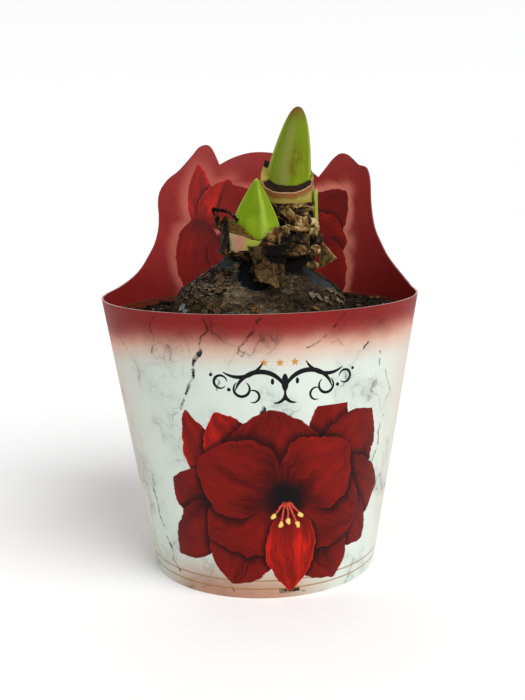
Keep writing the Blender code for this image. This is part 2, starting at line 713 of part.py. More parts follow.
def build_scales(collection, helpers):
    """All the dried scales round the neck, which hold together in one crumpled collar."""

    def place(azimuth, share):
        radius, height = (value * MM for value in along(SCALE_BASE, share))
        return round_neck(math.degrees(azimuth), radius, height)

    rings = 2 * (len(SCALE_BASE) - 1)
    scales = solid_form("neck_scales", SCALE_SEGMENTS, rings, place, collection, material("dry_scale", 0.8))
    pieces = new_collection("scales")
    for index, name in enumerate(SCALES):
        scale_form(name, index, pieces)
    skirt_form(pieces)
    flap = smooth_line(SIDE_FLAP, 2)

    def flap_place(u, v):
        x, y, low, high = (value * MM for value in along(flap, u))
        return Vector((x, y + 0.9 * MM * math.sin(5 * u + 2 * v), low + (high - low) * v))

    sheet_form("side_flap", 8, 4, flap_place, SCALE_THICKNESS, pieces)
    curl = smooth_line(CURL, 2)

    def curl_place(u, v):
        x, y, height = (value * MM for value in along(curl, u))
        return Vector((x, y + CURL_WIDTH * (v - 0.5), height + 0.5 * MM * (v - 0.5)))

    sheet_form("curl", len(curl) - 1, 2, curl_place, SCALE_THICKNESS, pieces, offset=0.0)
    join_all(scales, pieces)
    room = 0.95 * MM
    main = shoot_post("main_room", MAIN_AXIS, [half + room for half in DRY_HALF], MAIN_FLOOR, helpers)
    second = shoot_post(
        "second_room", SECOND_AXIS, [half + CUT_GAP for half in SECOND_BASE_HALF], NECK_TOP - 1 * MM, helpers
    )
    for cutter in (main, second, as_cutter(grown_bulb("bulb_room", helpers))):
        boolean(scales, "DIFFERENCE", cutter)
    drop_crumbs(applied(scales))
    return scales


def shoot_post(name, axis, half, foot, helpers):
    """An upright oval post that keeps room for a shoot."""
    form = bmesh.new()
    bmesh.ops.create_cone(form, cap_ends=True, segments=40, radius1=1.0, radius2=1.0, depth=1.0)
    for vertex in form.verts:
        degrees = math.degrees(math.atan2(vertex.co.y, vertex.co.x))
        vertex.co = oval(axis, half, degrees, 185 * MM if vertex.co.z > 0 else foot)
    return as_cutter(add_object(name, form, helpers))


def main():
    clear_scene()
    plant = new_collection("potted_amaryllis")
    helpers = new_collection("helpers")
    build_sleeve(plant, helpers)
    build_pot(plant, helpers)
    build_bulb(plant)
    build_soil(plant, helpers)
    build_buds(plant)
    build_inner_base(plant)
    build_outer_bases(plant)
    build_second_base(plant)
    build_scales(plant, helpers)


main()
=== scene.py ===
"""Dresses a potted amaryllis in a printed card sleeve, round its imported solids.

Lengths are in millimetres unless a name or a note says otherwise, and turned into metres where a mesh is
made. The origin is on the pot's axis where it stands, +Z is up, and the plant is looked at from -Y. Turns
round the sleeve are in degrees from the middle of its back towards +X; turns round the neck and the shoots
are in degrees from +X towards +Y.
"""

from __future__ import annotations

import logging
import math
from dataclasses import dataclass
from enum import Enum
from typing import Iterable, Sequence, Union

import bmesh
import bpy
import numpy as np
from mathutils import Matrix, Vector


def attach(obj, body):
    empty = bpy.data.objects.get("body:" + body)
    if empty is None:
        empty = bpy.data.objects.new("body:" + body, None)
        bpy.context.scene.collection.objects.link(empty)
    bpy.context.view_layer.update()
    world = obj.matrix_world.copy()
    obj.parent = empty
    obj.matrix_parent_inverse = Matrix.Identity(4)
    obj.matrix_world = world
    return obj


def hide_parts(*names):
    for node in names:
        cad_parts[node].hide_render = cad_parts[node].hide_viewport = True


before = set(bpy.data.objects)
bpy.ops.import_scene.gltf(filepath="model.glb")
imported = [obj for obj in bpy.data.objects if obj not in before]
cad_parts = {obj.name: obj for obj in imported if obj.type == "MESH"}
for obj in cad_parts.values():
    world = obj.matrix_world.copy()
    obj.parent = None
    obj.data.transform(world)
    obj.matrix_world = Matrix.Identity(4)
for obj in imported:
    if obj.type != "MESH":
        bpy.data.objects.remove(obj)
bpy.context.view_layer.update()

MM = 0.001
TAU = 2.0 * math.pi
BODY = "root"
LOG = logging.getLogger("amaryllis")

Array = np.ndarray
Values = Union[Array, float]
Marks = dict[str, Values]
Colour = tuple[float, float, float]
Point = tuple[float, ...]
Table = tuple[Point, ...]
Number = Union[float, "Term"]


def rows(text: str) -> Table:
    """Reads rows of numbers, parted by commas."""
    return tuple(tuple(float(number) for number in row.split()) for row in text.split(","))


def srgb(*levels: int) -> Colour:
    """Turns a screen's colour, from 0 to 255, into the linear one that shaders use."""
    shares = (level / 255.0 for level in levels)
    return tuple(share / 12.92 if share <= 0.04045 else ((share + 0.055) / 1.055) ** 2.4 for share in shares)


def ease(low: float, high: float, value: Values) -> Values:
    """Rises smoothly from 0 at low to 1 at high, or falls where low is above high."""
    share = np.clip((np.asarray(value, float) - low) / (high - low), 0.0, 1.0)
    return share * share * (3.0 - 2.0 * share)


def at(x: Values, y: Values, z: Values) -> Array:
    """Makes points, with x, y and z on a new last axis."""
    return np.stack(np.broadcast_arrays(x, y, z), -1)


def shares(columns: int, lines: int) -> Sequence[Array]:
    """Shares from 0 to 1 across a grid and up it."""
    return np.meshgrid(np.linspace(0.0, 1.0, columns), np.linspace(0.0, 1.0, lines))


def turns(count: int) -> Array:
    """Equal steps of a full turn, in radians."""
    return np.arange(count) * TAU / count


def smooth_line(points: Table, steps: int) -> Array:
    """Draws a Catmull-Rom line through points.

    Args:
        points: The points that it passes.
        steps: Stretches between each two of them.

    Returns:
        The line's points, one to a row.
    """
    knots = np.array([points[0], *points, points[-1]], float)
    line = []
    for before, start, end, after in zip(knots, knots[1:], knots[2:], knots[3:]):
        for step in range(steps):
            t = step / steps
            curve = (2 * before - 5 * start + 4 * end - after) + t * (3 * start - 3 * end + after - before)
            line.append(start + 0.5 * t * ((end - before) + t * curve))
    return np.array([*line, knots[-1]])


def along(line: Array, share: Array) -> Array:
    """Finds the points at given shares of a line's stretches.

    Args:
        line: The line's points, one to a row.
        share: Shares from 0 to 1, in any shape.

    Returns:
        The points, with their numbers on a new last axis.
    """
    place = np.clip(share, 0.0, 1.0) * (len(line) - 1)
    low = np.minimum(place.astype(int), len(line) - 2)
    part = (place - low)[..., None]
    return line[low] * (1.0 - part) + line[low + 1] * part


def corner(cell: Array, seed: int) -> Array:
    """Gives each whole-numbered point of space its own random number.

    Args:
        cell: Whole numbers, with x, y and z on the last axis.
        seed: Which of many random spaces to read.

    Returns:
        Numbers from -1 to 1.
    """
    wide = np.uint64(0xFFFFFFFF)
    x, y, z = (cell[..., k].astype(np.int64).astype(np.uint64) for k in range(3))
    mixed = x * np.uint64(374761393) + y * np.uint64(668265263) + z * np.uint64(2246822519)
    mixed = (mixed + np.uint64(seed * 3266489917 % 2**32)) & wide
    for shift, factor in ((13, 1274126177), (16, 2654435761)):
        mixed = ((mixed ^ (mixed >> np.uint64(shift))) * np.uint64(factor)) & wide
    return (mixed ^ (mixed >> np.uint64(15))).astype(float) / 2.0**31 - 1.0


def lumps(points: Array, size: float, seed: int) -> Array:
    """Gives smooth random lumps of one size, the same on each run.

    Args:
        points: Places, with x, y and z on the last axis.
        size: A lump's size, in the units of the places.
        seed: Which of many reliefs to read.

    Returns:
        Heights from about -1 to 1.
    """
    scaled = points / size
    cell = np.floor(scaled)
    part = scaled - cell
    part = part * part * part * (part * (part * 6.0 - 15.0) + 10.0)
    total = np.zeros(points.shape[:-1])
    for step in np.ndindex(2, 2, 2):
        weight = np.prod(np.where(np.array(step) > 0, part, 1.0 - part), axis=-1)
        total += weight * corner(cell + step, seed)
    return total


def layered(points: Array, size: float, seed: int, layers: int, fold: bool) -> Array:
    """Adds ever smaller lumps to each other.

    Args:
        points: Places, with x, y and z on the last axis.
        size: The largest lumps' size.
        seed: Which of many reliefs to read.
        layers: How many sizes of lumps, each half the last.
        fold: Whether their lower halves are folded up into sharp creases.

    Returns:
        Heights from about -1 to 1, or from 0 in a crease to about 1.
    """
    total = 0.0
    height, fade, step = (0.55, 0.5, 29) if fold else (0.5, 0.55, 17)
    for layer in range(layers):
        level = lumps(points, size / 2.0**layer, seed + step * layer)
        total = total + (height * np.abs(level) * 1.6 if fold else height * level)
        height *= fade
    return total


def crumple(points: Array, size: float, seed: int, layers: int = 4) -> Array:
    """Gives soft crumpled heights, from about -1 to 1."""
    return layered(points, size, seed, layers, False)


def creases(points: Array, size: float, seed: int) -> Array:
    """Gives sharp folds as in crushed paper, from 0 in a crease to about 1."""
    return layered(points, size, seed, 3, True)


def enter(name: str, data: bpy.types.ID) -> bpy.types.Object:
    """Puts a mesh, a light or a camera into the scene.

    Args:
        name: Its name.
        data: What it shows.

    Returns:
        The object.
    """
    made = bpy.data.objects.new(name, data)
    bpy.context.scene.collection.objects.link(made)
    return made


class Form:
    """Points and faces that are gathered before they become one mesh.

    A face's side is the place of its material among the piece's materials. Marks are numbers that are kept
    for each point, by name, for the material to read.
    """

    def __init__(self) -> None:
        """Starts with nothing."""
        self.points: list[Array] = []
        self.faces: list[tuple[int, ...]] = []
        self.sides: list[int] = []
        self.marks: dict[str, list[Array]] = {}
        self.count = 0

    def add(self, points: Array, faces: Iterable[Sequence[int]], side: int = 0, marks: Marks | None = None) -> None:
        """Adds some points and the faces between them.

        Args:
            points: The points, one to a row.
            faces: Each face's corners, by their places among these points.
            side: The faces' side.
            marks: The points' marks.
        """
        base, given = self.count, marks or {}
        self.points.append(np.asarray(points, float))
        self.join([[int(place) + base for place in face] for face in faces], side)
        for name in set(self.marks) | set(given):
            kept = self.marks.setdefault(name, [np.zeros(base)] if base else [])
            kept.append(np.broadcast_to(given.get(name, 0.0), (len(points),)).copy())
        self.count += len(points)

    def join(self, faces: Sequence[Sequence[int]], side: int = 0) -> None:
        """Adds faces between points that are there already."""
        self.faces += [tuple(face) for face in faces]
        self.sides += [side] * len(faces)

    def disc(self, ring: Sequence[int], middle: Point) -> None:
        """Fills a ring of points that are there already, round a new one in its middle."""
        self.add(np.array([middle]), [])
        self.join([(near, far, self.count - 1) for near, far in zip(ring, [*ring[1:], ring[0]])])

    @staticmethod
    def quads(lines: int, columns: int, round_lines: bool = False, round_columns: bool = False) -> list[tuple]:
        """Lists the four corners of each square of a grid whose points run line by line.

        Args:
            lines: Lines of points.
            columns: Columns of points.
            round_lines: Whether the last line joins the first.
            round_columns: Whether the last column joins the first.

        Returns:
            The faces' corners.
        """
        faces = []
        for r in range(lines if round_lines else lines - 1):
            low, high = r * columns, (r + 1) % lines * columns
            for c in range(columns if round_columns else columns - 1):
                right = (c + 1) % columns
                faces.append((low + c, low + right, high + right, high + c))
        return faces

    def sheet(self, outer: Array, thickness: Values, side: int = 0, marks: Marks | None = None) -> None:
        """Adds a bent sheet with a thickness, closed along its four edges.

        Args:
            outer: The outer face's points, as lines by columns by three.
            thickness: How far the inner face lies behind it.
            side: Its side.
            marks: The outer points' marks.
        """
        lines, columns = outer.shape[:2]
        normal = np.cross(np.gradient(outer, axis=1), np.gradient(outer, axis=0))
        normal /= np.maximum(np.linalg.norm(normal, axis=-1, keepdims=True), 1e-9)
        inner = outer - normal * np.broadcast_to(thickness, (lines, columns))[..., None]
        total = lines * columns
        front = self.quads(lines, columns)
        faces = front + [tuple(place + total for place in reversed(face)) for face in front]
        rim = [(0, c) for c in range(columns)] + [(r, columns - 1) for r in range(1, lines)]
        rim += [(lines - 1, c) for c in range(columns - 2, -1, -1)] + [(r, 0) for r in range(lines - 2, 0, -1)]
        ring = [r * columns + c for r, c in rim]
        faces += [(end, start, start + total, end + total) for start, end in zip(ring, ring[1:] + ring[:1])]
        given = marks or {}
        both = {name: np.tile(np.broadcast_to(given[name], (lines, columns)).ravel(), 2) for name in given}
        self.add(np.concatenate([outer.reshape(-1, 3), inner.reshape(-1, 3)]), faces, side, both)

    def ball(self, rings: Array, foot: Sequence[float], tip: Sequence[float], marks: Marks | None = None) -> None:
        """Adds a closed form made of rings of points between a foot and a tip.

        Args:
            rings: The rings' points from the foot up, as rings by points by three.
            foot: The lowest point.
            tip: The highest point.
            marks: The rings' points' marks.
        """
        lines, columns = rings.shape[:2]
        total, last = lines * columns, (lines - 1) * columns
        faces = self.quads(lines, columns, round_columns=True)
        faces += [(total, (c + 1) % columns, c) for c in range(columns)]
        faces += [(total + 1, last + c, last + (c + 1) % columns) for c in range(columns)]
        kept = {}
        for name, value in (marks or {}).items():
            flat = np.broadcast_to(value, (lines, columns))
            kept[name] = np.concatenate([flat.ravel(), [flat[0].mean(), flat[-1].mean()]])
        self.add(np.concatenate([rings.reshape(-1, 3), [foot], [tip]]), faces, 0, kept)

    def tube(self, path: Array, radius: Values, corners: int, marks: Marks) -> None:
        """Adds a round tube along a path, closed at both ends.

        Args:
            path: The middle line's points, one to a row.
            radius: The tube's radius, or one for each of them.
            corners: Points round the tube.
            marks: Its marks.
        """
        heading = np.gradient(path, axis=0)
        heading /= np.maximum(np.linalg.norm(heading, axis=1, keepdims=True), 1e-9)
        aside = np.cross(heading, np.array((0.31, 0.87, 0.38)))
        aside /= np.maximum(np.linalg.norm(aside, axis=1, keepdims=True), 1e-9)
        turn = turns(corners)[:, None]
        offset = aside[:, None] * np.cos(turn) + np.cross(heading, aside)[:, None] * np.sin(turn)
        rings = path[:, None] + offset * np.broadcast_to(radius, (len(path),))[:, None, None]
        self.ball(rings, path[0], path[-1], marks)

    def mesh(self, name: str) -> bpy.types.Mesh:
        """Makes a bare mesh of the points and faces.

        Args:
            name: Its name.

        Returns:
            The mesh.
        """
        made = bpy.data.meshes.new(name)
        made.from_pydata((np.concatenate(self.points) * MM).tolist(), [], self.faces)
        return made

    def build(self, name: str, slot: str, node: str, *finishes: Finish) -> bpy.types.Object:
        """Makes the piece, faces turned outwards, puts it in the scene under the root body and hides its solid.

        Args:
            name: The piece's name.
            slot: The record's material slot for its finish, which is not used.
            node: The solid that it stands for.
            finishes: Its finishes, in the order of the sides.

        Returns:
            The object.
        """
        mesh = self.mesh(name)
        mesh.polygons.foreach_set("material_index", self.sides)
        for mark, values in self.marks.items():
            kept = mesh.attributes.new(mark, "FLOAT", "POINT")
            kept.data.foreach_set("value", np.concatenate(values).astype(np.float32))
        shape = bmesh.new()
        shape.from_mesh(mesh)
        bmesh.ops.recalc_face_normals(shape, faces=shape.faces)
        shape.to_mesh(mesh)
        shape.free()
        mesh.shade_smooth()
        mesh.set_sharp_from_angle(angle=math.radians(50))
        for finish in finishes:
            mesh.materials.append(finish.make())
        piece = enter(name, mesh)
        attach(piece, BODY)
        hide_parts(node)
        LOG.info("%s: %d faces", name, len(mesh.polygons))
        return piece


class Term:
    """A number, a place or a colour inside a material, which sums can be done with."""

    def __init__(self, paint: Paint, socket: bpy.types.NodeSocket) -> None:
        """Keeps the nodes that it belongs to and the output it stands for."""
        self.paint, self.socket = paint, socket

    def __add__(self, other: Number) -> Term:
        """The sum."""
        return self.paint.sum("ADD", self, other)

    def __mul__(self, other: Number) -> Term:
        """The product."""
        return self.paint.sum("MULTIPLY", self, other)

    __radd__, __rmul__ = __add__, __mul__

    def __sub__(self, other: Number) -> Term:
        """The difference."""
        return self.paint.sum("SUBTRACT", self, other)

    def __rsub__(self, other: Number) -> Term:
        """The difference, the other way round."""
        return self.paint.sum("SUBTRACT", other, self)

    def __truediv__(self, other: Number) -> Term:
        """The quotient."""
        return self.paint.sum("DIVIDE", self, other)

    def rise(self, low: float, high: float) -> Term:
        """Rises smoothly from 0 to 1.

        Args:
            low: The value at which it is 0.
            high: The value at which it is 1, which may be the lower one.

        Returns:
            The number from 0 to 1.
        """
        ends = (low, high, 0.0, 1.0) if low < high else (high, low, 1.0, 0.0)
        inputs = {"Value": self, **dict(zip(("From Min", "From Max", "To Min", "To Max"), ends))}
        return self.paint.out("Result", "ShaderNodeMapRange", inputs, interpolation_type="SMOOTHSTEP")

    def power(self, exponent: float) -> Term:
        """Raises it to a power."""
        return self.paint.sum("POWER", self, exponent)

    def size(self) -> Term:
        """Drops the sign of a number."""
        return self.paint.sum("ABSOLUTE", self)

    def over(self, other: Number) -> Term:
        """Takes the larger of two numbers."""
        return self.paint.sum("MAXIMUM", self, other)

    def under(self, other: Number) -> Term:
        """Takes the smaller of two numbers."""
        return self.paint.sum("MINIMUM", self, other)

    def clamp(self) -> Term:
        """Keeps a number within 0 and 1."""
        return self.over(0.0).under(1.0)

    def sine(self) -> Term:
        """Takes the sine."""
        return self.paint.sum("SINE", self)

    def cosine(self) -> Term:
        """Takes the cosine."""
        return self.paint.sum("COSINE", self)

    def tint(self, share: Number, *shade: int) -> Term:
        """Mixes a screen's colour into a colour."""
        return self.paint.mix(share, self, srgb(*shade))

    def noise(self, size: float, detail: float = 3.0, roughness: float = 0.55) -> Term:
        """Smooth random numbers about 0.5 at a place, in lumps of a size in millimetres."""
        inputs = {"Vector": self, "Scale": 1.0 / size, "Detail": detail, "Roughness": roughness}
        return self.paint.out("Fac", "ShaderNodeTexNoise", inputs)

    def cells(self, size: float) -> Term:
        """Distances from the middles of a pattern of cells, in cell sizes."""
        return self.paint.out("Distance", "ShaderNodeTexVoronoi", {"Vector": self, "Scale": 1.0 / size})

    def times(self, x: float, y: float, z: float) -> Term:
        """Multiplies a place's or a colour's numbers."""
        return self.paint.vector("MULTIPLY", self, (x, y, z))

    def minus(self, *other: float) -> Term:
        """Takes a place from this one."""
        return self.paint.vector("SUBTRACT", self, (*other, 0.0)[:3])

    def warp(self, size: float, reach: float, detail: float = 2.0) -> Term:
        """Moves a place about at random.

        Args:
            size: The lumps' size in millimetres.
            reach: How far it may move, in millimetres.
            detail: How many sizes of lumps.

        Returns:
            The moved place.
        """
        inputs = {"Vector": self, "Scale": 1.0 / size, "Detail": detail}
        middle = self.paint.out("Color", "ShaderNodeTexNoise", inputs).minus(0.5, 0.5, 0.5)
        return self.paint.vector("ADD", self, self.paint.vector("SCALE", middle, scale=2.0 * reach))


class Paint:
    """Builds the nodes of a material or of a group that materials share."""

    def __init__(self, tree: bpy.types.NodeTree) -> None:
        """Keeps the tree that it works on."""
        self.tree = tree

    def node(self, kind: str, inputs: dict | None = None, **settings: object) -> bpy.types.Node:
        """Adds a node.

        Args:
            kind: Blender's name of its type.
            inputs: Values or terms for its inputs, by the input's name or number.
            settings: Its own settings.

        Returns:
            The node.
        """
        node = self.tree.nodes.new(kind)
        for name, value in settings.items():
            setattr(node, name, value)
        for name, value in (inputs or {}).items():
            socket = node.inputs[name]
            if isinstance(value, Term):
                self.tree.links.new(value.socket, socket)
            elif isinstance(value, (int, float)) and socket.type in ("RGBA", "VECTOR"):
                socket.default_value = [value] * len(socket.default_value)
            else:
                socket.default_value = (*value, 1.0) if socket.type == "RGBA" else value
        return node

    def out(self, output: str | int, kind: str, inputs: dict | None = None, **settings: object) -> Term:
        """Adds a node and gives one of its outputs."""
        return Term(self, self.node(kind, inputs, **settings).outputs[output])

    def sum(self, operation: str, *values: Number) -> Term:
        """Does a sum with numbers."""
        return self.out(0, "ShaderNodeMath", dict(enumerate(values)), operation=operation)

    def vector(self, operation: str, *places: Term | Point, scale: Number = 1.0) -> Term:
        """Does a sum with places that gives a place."""
        inputs = {**dict(enumerate(places)), 3: scale}
        return self.out("Vector", "ShaderNodeVectorMath", inputs, operation=operation)

    def measure(self, operation: str, *places: Term | Point) -> Term:
        """Does a sum with places that gives a number."""
        return self.out("Value", "ShaderNodeVectorMath", dict(enumerate(places)), operation=operation)

    def join(self, x: Number, y: Number, z: Number = 0.0) -> Term:
        """Makes a place of three numbers."""
        return self.out(0, "ShaderNodeCombineXYZ", {0: x, 1: y, 2: z})

    def split(self, place: Term) -> list[Term]:
        """Takes a place's three numbers apart."""
        return [Term(self, socket) for socket in self.node("ShaderNodeSeparateXYZ", {0: place}).outputs]

    def place(self) -> Term:
        """The place on the piece, in millimetres."""
        return self.vector("SCALE", self.out("Object", "ShaderNodeTexCoord"), scale=1.0 / MM)

    def mark(self, name: str) -> Term:
        """A number that the mesh keeps for each of its points."""
        return self.out("Fac", "ShaderNodeAttribute", attribute_name=name)

    def mix(self, share: Number, first: Term | Colour, second: Term | Colour) -> Term:
        """Mixes two colours."""
        return self.out(2, "ShaderNodeMix", {0: share, 6: first, 7: second}, data_type="RGBA")

    def use(self, group: bpy.types.NodeTree, **inputs: Term | Point | float) -> dict[str, Term]:
        """Adds a shared group and gives its outputs by name."""
        node = self.node("ShaderNodeGroup", inputs, node_tree=group)
        return {socket.name: Term(self, socket) for socket in node.outputs}

    def bump(self, height: Term, depth: float) -> Term:
        """Turns heights from 0 to 1 into a bent normal, where 1 is a depth in millimetres."""
        return self.out("Normal", "ShaderNodeBump", {"Height": height, "Distance": depth * MM, "Strength": 1.0})


class Group:
    """A group of nodes that several materials use."""

    def __init__(self, name: str, inputs: dict[str, str], outputs: dict[str, str]) -> None:
        """Makes an empty group.

        Args:
            name: Its name.
            inputs: Its inputs' types, Float, Vector or Color, by their names.
            outputs: Its outputs' types by their names.
        """
        self.tree = bpy.data.node_groups.new(name, "ShaderNodeTree")
        for way, ends in (("INPUT", inputs), ("OUTPUT", outputs)):
            for end, kind in ends.items():
                self.tree.interface.new_socket(end, in_out=way, socket_type=f"NodeSocket{kind}")
        self.paint = Paint(self.tree)
        entry = self.tree.nodes.new("NodeGroupInput")
        self.inputs = {end: Term(self.paint, entry.outputs[end]) for end in inputs}

    def close(self, **outputs: Term) -> bpy.types.NodeTree:
        """Joins the outputs and gives the group."""
        self.paint.node("NodeGroupOutput", outputs)
        return self.tree


class Finish:
    """What all finishes share: a material that is made once, out of nodes."""

    name: str

    def make(self) -> bpy.types.Material:
        """Makes the material, or finds it if it has been made."""
        made = bpy.data.materials.get(self.name)
        if made is None:
            made = bpy.data.materials.new(self.name)
            made.use_nodes = True
            made.node_tree.nodes.clear()
            paint = Paint(made.node_tree)
            self.paint(paint, paint.place())
        return made

    def paint(self, paint: Paint, place: Term) -> None:
        """Adds the nodes of this finish, given the place on the piece."""
        raise NotImplementedError

    @staticmethod
    def surface(
        paint: Paint, colour: Term, roughness: Number, height: Term, depth: float, gloss: float, **fixed: object
    ) -> None:
        """Adds the shader itself.

        Args:
            paint: The material's nodes.
            colour: Its colour.
            roughness: Its roughness.
            height: Its relief, from 0 to 1.
            depth: How deep 1 is.
            gloss: Its specular level.
            fixed: Other values that are the same everywhere, by the input's name, with _ for a space.
        """
        inputs = {name.replace("_", " "): value for name, value in fixed.items()}
        inputs.update({"Base Color": colour, "Roughness": roughness, "Specular IOR Level": gloss})
        inputs["Normal"] = paint.bump(height, depth)
        paint.node("ShaderNodeOutputMaterial", {"Surface": paint.out("BSDF", "ShaderNodeBsdfPrincipled", inputs)})


@dataclass(frozen=True)
class Cone:
    """The sleeve's shape, which the print and the pot follow."""

    foot: float = 52.0
    rim: float = 72.0
    height: float = 126.7
    seam: float = math.radians(188.0)  # how far left of the front's middle the print starts

    def radius(self, z: Values) -> Values:
        """The outside radius at a height."""
        return self.foot + (self.rim - self.foot) * z / self.height

    def spread(self, paint: Paint, place: Term, back: bool) -> tuple[Term, Term, Term]:
        """Lays the card out flat for its print.

        Args:
            paint: The material's nodes.
            place: The place on the card.
            back: Whether to count from the back's middle, as seen from inside, or from the front's.

        Returns:
            The place on the print as a vector, how far right it is, and how high.
        """
        x, y, z = paint.split(place)
        turn = paint.sum("ARCTAN2", x, y if back else y * -1.0)
        if not back:
            turn = paint.sum("FLOORED_MODULO", turn + self.seam, TAU) - self.seam
        right = turn * (z * ((self.rim - self.foot) / self.height) + self.foot)
        return paint.join(right, z), right, z


CONE = Cone()
BORDER = 87.6  # the height at which one of the print's two materials takes over from the other
CARD_GLOSS = 0.11
BUD_COLUMNS = 200  # points round a bud


class Petals:
    """A printed bloom, built petal by petal."""

    def __init__(self) -> None:
        """Makes the group that one petal needs."""
        ends = {"Colour": "Color", "Cover": "Float", "Glow": "Float", "Place": "Vector"}
        more = dict.fromkeys(("Base", "Way", "Side"), "Vector")
        more.update(dict.fromkeys(("Length", "Width", "Tone"), "Float"))
        group = Group("petal", {**ends, **more}, ends)
        paint, given = group.paint, group.inputs
        tone, length, width = given["Tone"], given["Length"], given["Width"]
        away = paint.vector("SUBTRACT", given["Place"], given["Base"])
        reach = paint.measure("DOT_PRODUCT", away, given["Way"]) / length
        aside = paint.measure("DOT_PRODUCT", away, given["Side"]) / width
        ripple = paint.join(reach * 5.0, tone * 9.0, aside).noise(0.8) - 0.5
        bend = reach * reach * (tone - 0.5) * 0.34
        across = aside - bend + ripple * 0.42
        share = reach.clamp()
        half = (share.power(0.82) * math.pi).sine().over(0.0).power(0.62) * (1.0 - share.power(7.0) * 0.22)
        inside = half - across.size()
        cover = inside.rise(0.0, 0.035) * reach.rise(0.0, 0.06)
        lane = across / (half + 0.12)
        streak = paint.join(lane * 13.0, reach * 1.7, tone * 20.0).noise(1.0)
        fine = paint.join(lane * 46.0, reach * 3.0, tone * 20.0).noise(1.0, 2.0)
        fold = paint.join(lane * 1.6, reach * 1.5, tone * 31.0).noise(0.8, 2.0)
        rib = lane.size().rise(0.16, 0.0) * reach.rise(0.95, 0.4)
        light = 0.3 + fold.rise(0.3, 0.75) * 0.26 + (streak - 0.5) * 0.5 + (fine - 0.5) * 0.4 - rib * 0.08
        light = light * (0.35 + reach.rise(0.0, 0.45) * 0.65) * (0.4 + tone * 1.1)
        light = (light + inside.rise(0.08, 0.0) * 0.4 * tone).clamp()
        petal = paint.mix(light.rise(0.0, 0.42), srgb(38, 3, 2), srgb(114, 14, 6))
        petal = petal.tint(light.rise(0.38, 1.0), 208, 30, 14)
        shade = inside.rise(-0.3, 0.02) * reach.rise(0.0, 0.2) * reach.rise(1.12, 0.9) * given["Cover"]
        below = given["Colour"].tint(shade * 0.88, 18, 2, 2)
        glow = (inside * width).rise(-9.0, -0.5) * (reach * length).rise(-9.0, 0.0)
        glow = (glow * ((1.0 - reach) * length).rise(-9.0, 0.0)).power(1.4)
        # The place is handed on from petal to petal, so that the renderer works them out one after the other
        place = paint.vector("ADD", given["Place"], paint.join((cover + glow) * 1e-7, 0.0))
        self.group = group.close(
            Colour=paint.mix(cover, below, petal), Cover=given["Cover"].over(cover), Glow=given["Glow"].over(glow),
            Place=place,
        )

    def lay(self, paint: Paint, colour: Term, place: Term, petals: Table) -> dict[str, Term]:
        """Prints petals, each over the last.

        Args:
            paint: The material's nodes.
            colour: The print so far.
            place: The place on the print.
            petals: Each petal's root, heading in degrees from up, length, half width and tone.

        Returns:
            The colour with them, how much they cover and glow, and the place.
        """
        ground = {"Colour": colour, "Cover": 0.0, "Glow": 0.0, "Place": place}
        for x, z, turn, length, width, tone in petals:
            way = (math.sin(math.radians(turn)), math.cos(math.radians(turn)), 0.0)
            ground = paint.use(
                self.group, **ground, Base=(x, z, 0.0), Way=way, Side=(way[1], -way[0], 0.0),
                Length=length, Width=width, Tone=tone,
            )
        return ground

    @staticmethod
    def throat(paint: Paint, colour: Term, place: Term, middle: Point, size: float) -> Term:
        """Prints the dark throat of a bloom and the yellow stamens in it.

        Args:
            paint: The material's nodes.
            colour: The print so far.
            place: The place on the print.
            middle: Where the throat is.
            size: The throat's radius.

        Returns:
            The colour with them.
        """
        away = paint.measure("DISTANCE", place.warp(5.0, 1.6), (*middle, 0.0))
        colour = colour.tint(away.rise(size * 1.9, size * 0.6) * 0.96, 10, 4, 6)
        spot = place.warp(1.8, 0.7).minus(*middle)
        for turn, reach, rise in rows("-34 1.2 .3, -14 1.5 -.4, 6 1.3 .5, 20 1.65 -.2, 38 1.25 .2"):
            way = (math.sin(math.radians(turn)), -math.cos(math.radians(turn)), 0.0)
            down = paint.measure("DOT_PRODUCT", spot, way)
            aside = paint.measure("DOT_PRODUCT", spot, (way[1], -way[0], 0.0))
            end = size * reach * 1.25
            thread = (aside - (down / end).power(2.0) * rise).size().rise(0.55, 0.25)
            thread = thread * down.rise(size * 0.2, size * 0.5) * down.rise(end + 0.2, end - 0.4)
            colour = colour.tint(thread * 0.9, 205, 70, 50)
            tip = paint.measure("LENGTH", paint.join(aside - rise, (down - end) * 0.62))
            colour = colour.tint(tip.rise(1.1, 0.7), 226, 190, 104)
        return colour


class Strokes:
    """Lines of the print: straight cracks and round scrolls."""

    def __init__(self) -> None:
        """Makes the two groups that lines need."""
        ink = {"Ink": "Float"}
        group = Group("crack", {**dict.fromkeys(("Place", "Start", "End"), "Vector"), "Width": "Float"}, ink)
        paint, given = group.paint, group.inputs
        way = paint.vector("SUBTRACT", given["End"], given["Start"])
        away = paint.vector("SUBTRACT", given["Place"], given["Start"])
        share = (paint.measure("DOT_PRODUCT", away, way) / paint.measure("DOT_PRODUCT", way, way)).clamp()
        near = paint.measure("LENGTH", paint.vector("SUBTRACT", away, paint.vector("SCALE", way, scale=share)))
        self.crack = group.close(Ink=(near / given["Width"]).rise(1.0, 0.5))
        numbers = dict.fromkeys(("Radius", "Middle", "Half", "Width"), "Float")
        group = Group("scroll", {"Place": "Vector", "Centre": "Vector", **numbers}, ink)
        paint, given = group.paint, group.inputs
        away = paint.vector("SUBTRACT", given["Place"], given["Centre"])
        x, z, _ = paint.split(away)
        turned = paint.sum("ARCTAN2", z, x) - given["Middle"] + 3.0 * math.pi
        turned = (paint.sum("FLOORED_MODULO", turned, TAU) - math.pi).size() / given["Half"]
        width = given["Width"] * (turned.under(1.0) * (0.5 * math.pi)).cosine().over(0.0).power(0.6)
        near = (paint.measure("LENGTH", away) - given["Radius"]).size()
        self.scroll = group.close(Ink=(near / (width + 0.001)).rise(1.12, 0.88) * turned.rise(1.0, 0.96))


